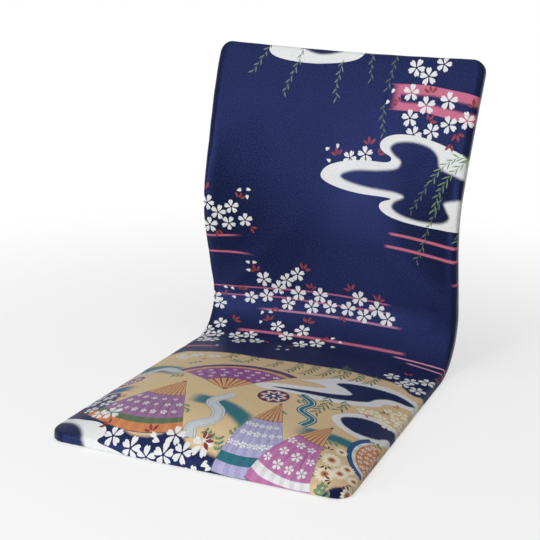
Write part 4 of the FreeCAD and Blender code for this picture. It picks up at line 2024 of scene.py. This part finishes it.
@dataclass
class NodeBench:
    """The nodes of a material or a world, with short calls that add and join them."""

    owner: Material | World

    def __post_init__(self) -> None:
        """Turn the nodes on and find the shader that they start with."""
        self.owner.use_nodes = True
        self.tree = self.owner.node_tree
        first = "Principled BSDF" if isinstance(self.owner, Material) else "Background"
        self.shader = self.tree.nodes[first]

    def feed(self, node: Node, inputs: dict) -> None:
        """Set or join some of a node's inputs.

        Args:
            node: the node.
            inputs: a constant, or the socket to join, for each input's name or number.
        """
        for name, value in inputs.items():
            if isinstance(value, NodeSocket):
                self.tree.links.new(value, node.inputs[name])
            else:
                node.inputs[name].default_value = value

    def add(self, kind: str, inputs: dict | None = None, **settings: object) -> Node:
        """Add a node.

        Args:
            kind: its type, without the words that every shader node's type starts with.
            inputs: its inputs, as feed takes them.
            settings: its other settings.

        Returns:
            The node.
        """
        node = self.tree.nodes.new("ShaderNode" + kind)
        for name, value in settings.items():
            setattr(node, name, value)
        self.feed(node, inputs or {})
        return node

    def texture(self, kind: str, inputs: dict, **settings: object) -> NodeSocket:
        """Add a texture and give its factor."""
        return self.add("Tex" + kind, inputs, **settings).outputs["Fac"]

    def math(self, operation: str, first: object, second: object) -> NodeSocket:
        """Join two values, or a value and a constant, by arithmetic."""
        return self.add("Math", {0: first, 1: second}, operation=operation).outputs["Value"]

    def vector(self, operation: str, *inputs: object) -> NodeSocket:
        """Join vectors by arithmetic."""
        return self.add("VectorMath", dict(enumerate(inputs)), operation=operation).outputs["Vector"]

    def spread(self, factor: NodeSocket, low: float, high: float) -> NodeSocket:
        """Spread a factor from 0 to 1 over a range."""
        return self.add("MapRange", {"Value": factor, "To Min": low, "To Max": high}).outputs["Result"]

    def plain(self, colour: Sequence[float]) -> NodeSocket:
        """One plain colour.

        Args:
            colour: its linear red, green and blue.

        Returns:
            The colour's socket.
        """
        node = self.add("RGB")
        node.outputs[0].default_value = (*colour, 1.0)
        return node.outputs[0]

    def tinted(self, colour: NodeSocket, factor: NodeSocket, low: float,
               high: float) -> NodeSocket:
        """Darken and lighten a colour by a texture's factor."""
        inputs = {0: colour, "Scale": self.spread(factor, low, high)}
        return self.add("VectorMath", inputs, operation="SCALE").outputs["Vector"]

    def cloth_coordinates(self) -> NodeSocket:
        """The flat cloth's own coordinates."""
        return self.add("UVMap", uv_map="cloth").outputs["UV"]

    def object_coordinates(self) -> NodeSocket:
        """Coordinates in the chair's frame, in metres."""
        return self.add("TexCoord").outputs["Object"]

    def bump(self, height: NodeSocket, relief: Place,
             under: NodeSocket | None = None) -> NodeSocket:
        """Make a bump, over another one if there is one.

        Args:
            height: the bump's height, from 0 to 1.
            relief: its full height in metres, and its strength.
            under: the bump below it.

        Returns:
            The surface's direction.
        """
        inputs = {"Height": height, "Distance": relief[0], "Strength": relief[1]}
        if under:
            inputs["Normal"] = under
        return self.add("Bump", inputs).outputs["Normal"]

    def background_rays(self) -> NodeSocket:
        """Tell the rays that see the background as plain white from those that light the chair.

        Returns:
            1 for what the camera sees, also in gloss and through glass, and 0 for other rays.
        """
        path = self.add("LightPath")
        seen = path.outputs["Is Camera Ray"]
        for ray in ("Is Glossy Ray", "Is Transmission Ray"):
            seen = self.math("MAXIMUM", seen, path.outputs[ray])
        return seen


def new_bench(name: str) -> NodeBench:
    """A bench with a new material."""
    return NodeBench(bpy.data.materials.new(name))


@dataclass(frozen=True)
class SatinFinish:
    """Printed polyester satin: fine diagonal weave, a soft gloss, and pigment that is a little duller."""

    roughness: Place = (0.38, 0.43)
    pigment_dullness: float = 0.22
    gloss: float = 0.35
    gloss_tint: Colour = (0.19, 0.27, 1.0)
    weave_scale: float = 640.0
    weave_relief: Place = (0.00002, 0.35)
    grain_scale: float = 540.0
    grain_relief: Place = (0.00005, 0.6)
    cloud_scale: float = 34.0
    speck_ink: Colour = (0.044, 0.056, 0.16)
    sheen: float = 0.04
    sheen_roughness: float = 0.4
    stretch: float = 0.95
    thread_turn: float = 0.25

    def material(self) -> Material:
        """Make the material, whose colours come from the cover's own print.

        Returns:
            The material.
        """
        bench = new_bench("printed_satin")
        cloth = bench.cloth_coordinates()
        pigment = bench.add("Attribute", attribute_name="print").outputs["Color"]
        grain = bench.texture(
            "Noise", {"Vector": cloth, "Scale": self.grain_scale, "Detail": 2.0, "Roughness": 0.6}
        )
        cloud = bench.texture("Noise", {"Vector": cloth, "Scale": self.cloud_scale, "Detail": 2.0})
        weave = bench.texture(
            "Wave", {"Vector": cloth, "Scale": self.weave_scale, "Distortion": 1.2, "Detail": 1.0},
            bands_direction="DIAGONAL",
        )
        colour = bench.tinted(bench.tinted(pigment, grain, 0.85, 1.15), cloud, 0.94, 1.06)
        specks = bench.math("SUBTRACT", grain, 0.5)
        speckled = bench.vector("MULTIPLY_ADD", specks, self.speck_ink, colour)
        dull = bench.math("MULTIPLY", pigment, self.pigment_dullness)
        thread = bench.add("Tangent", direction_type="UV_MAP", uv_map="cloth")
        bench.feed(bench.shader, {
            "Base Color": bench.vector("MAXIMUM", speckled, (0.0, 0.0, 0.0)),
            "Normal": bench.bump(grain, self.grain_relief, bench.bump(weave, self.weave_relief)),
            "Roughness": bench.math("ADD", bench.spread(cloud, *self.roughness), dull),
            "Tangent": thread.outputs["Tangent"],
            "Anisotropic": self.stretch,
            "Anisotropic Rotation": self.thread_turn,
            "Sheen Weight": self.sheen,
            "Sheen Roughness": self.sheen_roughness,
            "Sheen Tint": (*self.gloss_tint, 1.0),
            "Specular IOR Level": self.gloss,
            "Specular Tint": (*self.gloss_tint, 1.0),
        })
        return bench.owner


@dataclass(frozen=True)
class LiningFinish:
    """Plain woven polyester in a dark navy."""

    ink: Ink = Ink.DEEP_NAVY
    thread_scale: float = 420.0
    thread_relief: Place = (0.0001, 0.6)
    speck_scale: float = 520.0
    speck_relief: Place = (0.0002, 0.4)
    roughness: float = 0.72
    sheen: float = 0.25

    def material(self) -> Material:
        """Make the material, with threads both ways.

        Returns:
            The material.
        """
        bench = new_bench("rear_lining")
        cloth = bench.cloth_coordinates()
        threads = {"Vector": cloth, "Scale": self.thread_scale, "Distortion": 0.6}
        ways = [bench.texture("Wave", threads, bands_direction=way) for way in ("X", "Y")]
        woven = bench.math("MULTIPLY", *ways)
        speck = bench.texture("Noise", {"Vector": cloth, "Scale": self.speck_scale, "Detail": 3.0})
        colour = bench.tinted(bench.plain(self.ink.linear), speck, 0.7, 1.3)
        bench.feed(bench.shader, {
            "Base Color": bench.tinted(colour, woven, 0.8, 1.15),
            "Normal": bench.bump(speck, self.speck_relief, bench.bump(woven, self.thread_relief)),
            "Roughness": self.roughness,
            "Sheen Weight": self.sheen,
        })
        return bench.owner


@dataclass(frozen=True)
class FoamFinish:
    """Open-cell urethane foam."""

    cell_scale: float = 900.0
    cell_relief: Place = (0.0006, 0.8)
    cloud_scale: float = 30.0
    roughness: float = 0.95

    def material(self) -> Material:
        """Make the material, with open cells.

        Returns:
            The material.
        """
        bench = new_bench("urethane_foam")
        place = bench.object_coordinates()
        cells = bench.add("TexVoronoi", {"Vector": place, "Scale": self.cell_scale}).outputs["Distance"]
        cloud = bench.texture("Noise", {"Vector": place, "Scale": self.cloud_scale, "Detail": 3.0})
        colour = bench.tinted(bench.plain(Ink.CREAM.linear), cells, 0.7, 1.2)
        bench.feed(bench.shader, {
            "Base Color": bench.tinted(colour, cloud, 0.9, 1.08),
            "Normal": bench.bump(cells, self.cell_relief),
            "Roughness": self.roughness,
        })
        return bench.owner


class Grain(Enum):
    """Which way a sheet of wood's grain runs, by how far a pattern is squeezed along x, y and z."""

    ALONG = (1.0, 0.12, 0.12)
    ACROSS = (0.12, 1.0, 1.0)


@dataclass(frozen=True)
class VeneerFinish:
    """One sheet of pale hardwood veneer, with its grain along or across the chair."""

    grain: Grain
    wood: Colour = (0.52, 0.33, 0.17)
    ring_scale: float = 22.0
    pore_scale: float = 420.0
    pore_relief: Place = (0.0002, 0.5)
    roughness: float = 0.6

    def material(self) -> Material:
        """Make the material, with year rings and pores.

        Returns:
            The material.
        """
        bench = new_bench(f"veneer_{self.grain.name.lower()}")
        inputs = {"Vector": bench.object_coordinates(), "Scale": self.grain.value}
        place = bench.add("Mapping", inputs).outputs["Vector"]
        rings = bench.texture("Wave", {
            "Vector": place, "Scale": self.ring_scale, "Distortion": 7.0, "Detail": 3.0,
            "Detail Scale": 1.4,
        })
        pores = bench.texture(
            "Noise", {"Vector": place, "Scale": self.pore_scale, "Detail": 5.0, "Roughness": 0.7}
        )
        colour = bench.tinted(bench.plain(self.wood), rings, 0.72, 1.12)
        bench.feed(bench.shader, {
            "Base Color": bench.tinted(colour, pores, 0.8, 1.15),
            "Normal": bench.bump(pores, self.pore_relief),
            "Roughness": self.roughness,
        })
        return bench.owner


@dataclass(frozen=True)
class StapleFinish:
    """Galvanised staple wire, a little dull and unevenly grey."""

    zinc: Colour = (0.55, 0.56, 0.57)
    film_scale: float = 700.0
    film_relief: Place = (0.00005, 0.4)
    roughness: Place = (0.22, 0.5)

    def material(self) -> Material:
        """Make the material, with an uneven film over the metal.

        Returns:
            The material.
        """
        bench = new_bench("staple_wire")
        inputs = {"Vector": bench.object_coordinates(), "Scale": self.film_scale, "Detail": 4.0}
        film = bench.texture("Noise", inputs)
        bench.feed(bench.shader, {
            "Base Color": bench.tinted(bench.plain(self.zinc), film, 0.7, 1.15),
            "Roughness": bench.spread(film, *self.roughness),
            "Normal": bench.bump(film, self.film_relief),
            "Metallic": 1.0,
        })
        return bench.owner


def dress(node: Object, material: Material) -> None:
    """Give a piece from the frame one material."""
    node.data.materials.clear()
    node.data.materials.append(material)


# The studio

@dataclass(frozen=True)
class Lamp:
    """One soft lamp: its place and size in metres, and its power in watts."""

    name: str
    place: tuple[float, float, float]
    size: Place
    power: float

    def hang(self, aim: Vector) -> None:
        """Add the lamp, turned towards the chair.

        Args:
            aim: the point that it shines on.
        """
        light = bpy.data.lights.new(self.name, "AREA")
        light.shape = "RECTANGLE"
        light.size, light.size_y = self.size
        light.energy = self.power
        lamp = bpy.data.objects.new(self.name, light)
        lamp.location = self.place
        lamp.rotation_euler = (aim - Vector(self.place)).to_track_quat("-Z", "Y").to_euler()
        bpy.context.scene.collection.objects.link(lamp)


@dataclass
class Studio:
    """A plain pale floor, soft lamps and the camera at the photograph's angle, in metres."""

    azimuth: float = 23.777
    elevation: float = 17.172
    roll: float = 0.8
    distance: float = 1.78952
    focal_length: float = 93.815
    aim: tuple[float, float, float] = (0.01045, -0.05395, 0.19428)
    lamps: Sequence[Lamp] = (
        Lamp("strip", (-0.6, -2.35, 1.4), (0.46, 1.4), 19.0),
        Lamp("low", (-1.02, -1.95, 0.34), (0.42, 0.66), 24.0),
        Lamp("top", (0.1, -0.2, 2.4), (1.8, 1.4), 18.0),
    )
    world_level: float = 0.26
    floor_size: float = 24.0
    floor_grey: float = 0.93
    shadow_share: float = 0.6
    fade: Place = (0.3, 1.1)

    def build(self) -> None:
        """Set up the floor, the world, the lamps and the camera."""
        self.floor()
        self.world()
        for lamp in self.lamps:
            lamp.hang(Vector(self.aim))
        self.camera()
        bpy.context.scene.view_settings.view_transform = "Standard"

    def camera(self) -> None:
        """Put the camera where the photograph was taken from."""
        azimuth, elevation = math.radians(self.azimuth), math.radians(self.elevation)
        forward = Vector((
            -math.sin(azimuth) * math.cos(elevation),
            math.cos(azimuth) * math.cos(elevation),
            -math.sin(elevation),
        ))
        level = Vector((math.cos(azimuth), math.sin(azimuth), 0.0))
        upright = level.cross(forward)
        turn = math.radians(self.roll)
        right = level * math.cos(turn) + upright * math.sin(turn)
        up = upright * math.cos(turn) - level * math.sin(turn)
        lens = bpy.data.cameras.new("camera")
        lens.lens = self.focal_length
        lens.sensor_width = 36.0
        lens.clip_start = 0.1
        lens.clip_end = 30.0
        camera = bpy.data.objects.new("camera", lens)
        stand = Matrix.Translation(Vector(self.aim) - forward * self.distance)
        camera.matrix_world = stand @ Matrix((right, up, -forward)).transposed().to_4x4()
        bpy.context.scene.collection.objects.link(camera)
        bpy.context.scene.camera = camera

    def world(self) -> None:
        """A pale even surrounding, white where the camera sees it."""
        bpy.context.scene.world = bpy.data.worlds.new("surrounding")
        bench = NodeBench(bpy.context.scene.world)
        level = bench.spread(bench.background_rays(), self.world_level, 1.0)
        bench.feed(bench.shader, {"Color": (1.0, 1.0, 1.0, 1.0), "Strength": level})

    def floor(self) -> None:
        """A plain pale floor that keeps the chair's soft shadow and turns white further away."""
        bpy.ops.object.select_all(action="DESELECT")
        bpy.ops.mesh.primitive_plane_add(size=self.floor_size, location=(0.0, 0.0, 0.0))
        floor = bpy.context.object
        floor.name = "floor"
        bench = new_bench("pale_floor")
        grey = (self.floor_grey, self.floor_grey, self.floor_grey, 1.0)
        bench.feed(bench.shader, {"Base Color": grey, "Roughness": 0.9})
        reach = bench.add("VectorMath", {0: bench.object_coordinates()}, operation="LENGTH")
        near, far = self.fade
        spread = bench.add("MapRange", {
            "Value": reach.outputs["Value"], "From Min": near, "From Max": far,
            "To Min": self.shadow_share, "To Max": 1.0,
        }, interpolation_type="SMOOTHSTEP")
        share = bench.math("MULTIPLY", bench.background_rays(), spread.outputs["Result"])
        white = bench.add("Emission", {"Color": (1.0, 1.0, 1.0, 1.0), "Strength": 1.0})
        mixed = bench.add("MixShader", {
            "Fac": share, 1: bench.shader.outputs["BSDF"], 2: white.outputs["Emission"],
        })
        bench.feed(bench.tree.nodes["Material Output"], {"Surface": mixed.outputs["Shader"]})
        floor.data.materials.append(bench.owner)


@dataclass
class TatamiChair:
    """The whole chair: layered wood, foam, printed cover, lining and staples."""

    sheet: BentSheet = field(default_factory=BentSheet)
    joint_past_bend: float = 20.0
    joint_gap: float = 0.3
    past_end: float = 10.0

    def build(self, nodes: dict[str, Object]) -> None:
        """Dress the pieces from the frame and build the soft ones.

        Args:
            nodes: the pieces of the frame by name.
        """
        padding = Padding(self.sheet)
        self.dress_frame(nodes)
        joint = self.sheet.seat_run + self.joint_past_bend
        end = self.sheet.total + self.past_end
        foam = FoamFinish()
        pads = (
            FoamPad(padding, "seat_pad", "seat_foam", -self.past_end, joint),
            FoamPad(padding, "back_pad", "back_foam", joint + self.joint_gap, end),
        )
        for pad in pads:
            report(pad.build(foam))
        report(PrintedCover(padding).build(SatinFinish()))
        report(RearLining(padding).build(LiningFinish()))

    def dress_frame(self, nodes: dict[str, Object]) -> None:
        """Give the wood and the staples their finishes.

        Args:
            nodes: the pieces of the frame by name.
        """
        veneers = {grain: VeneerFinish(grain).material() for grain in Grain}
        wire = StapleFinish().material()
        for name, node in nodes.items():
            if name.startswith("shell_ply_"):
                odd = int(name.rsplit("_", 1)[1]) % 2
                dress(node, veneers[Grain.ALONG if odd else Grain.ACROSS])
                report(node)
            elif name.endswith("_staples"):
                dress(node, wire)
                report(node)


def report(piece: Object) -> None:
    """Log one finished piece."""
    LOG.info("%s: %d faces", piece.name, len(piece.data.polygons))


def main() -> None:
    """Load the frame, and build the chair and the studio."""
    logging.basicConfig(level=logging.INFO, format="%(message)s")
    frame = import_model()
    TatamiChair().build(frame["nodes"])
    Studio().build()


if __name__ == "__main__":
    main()
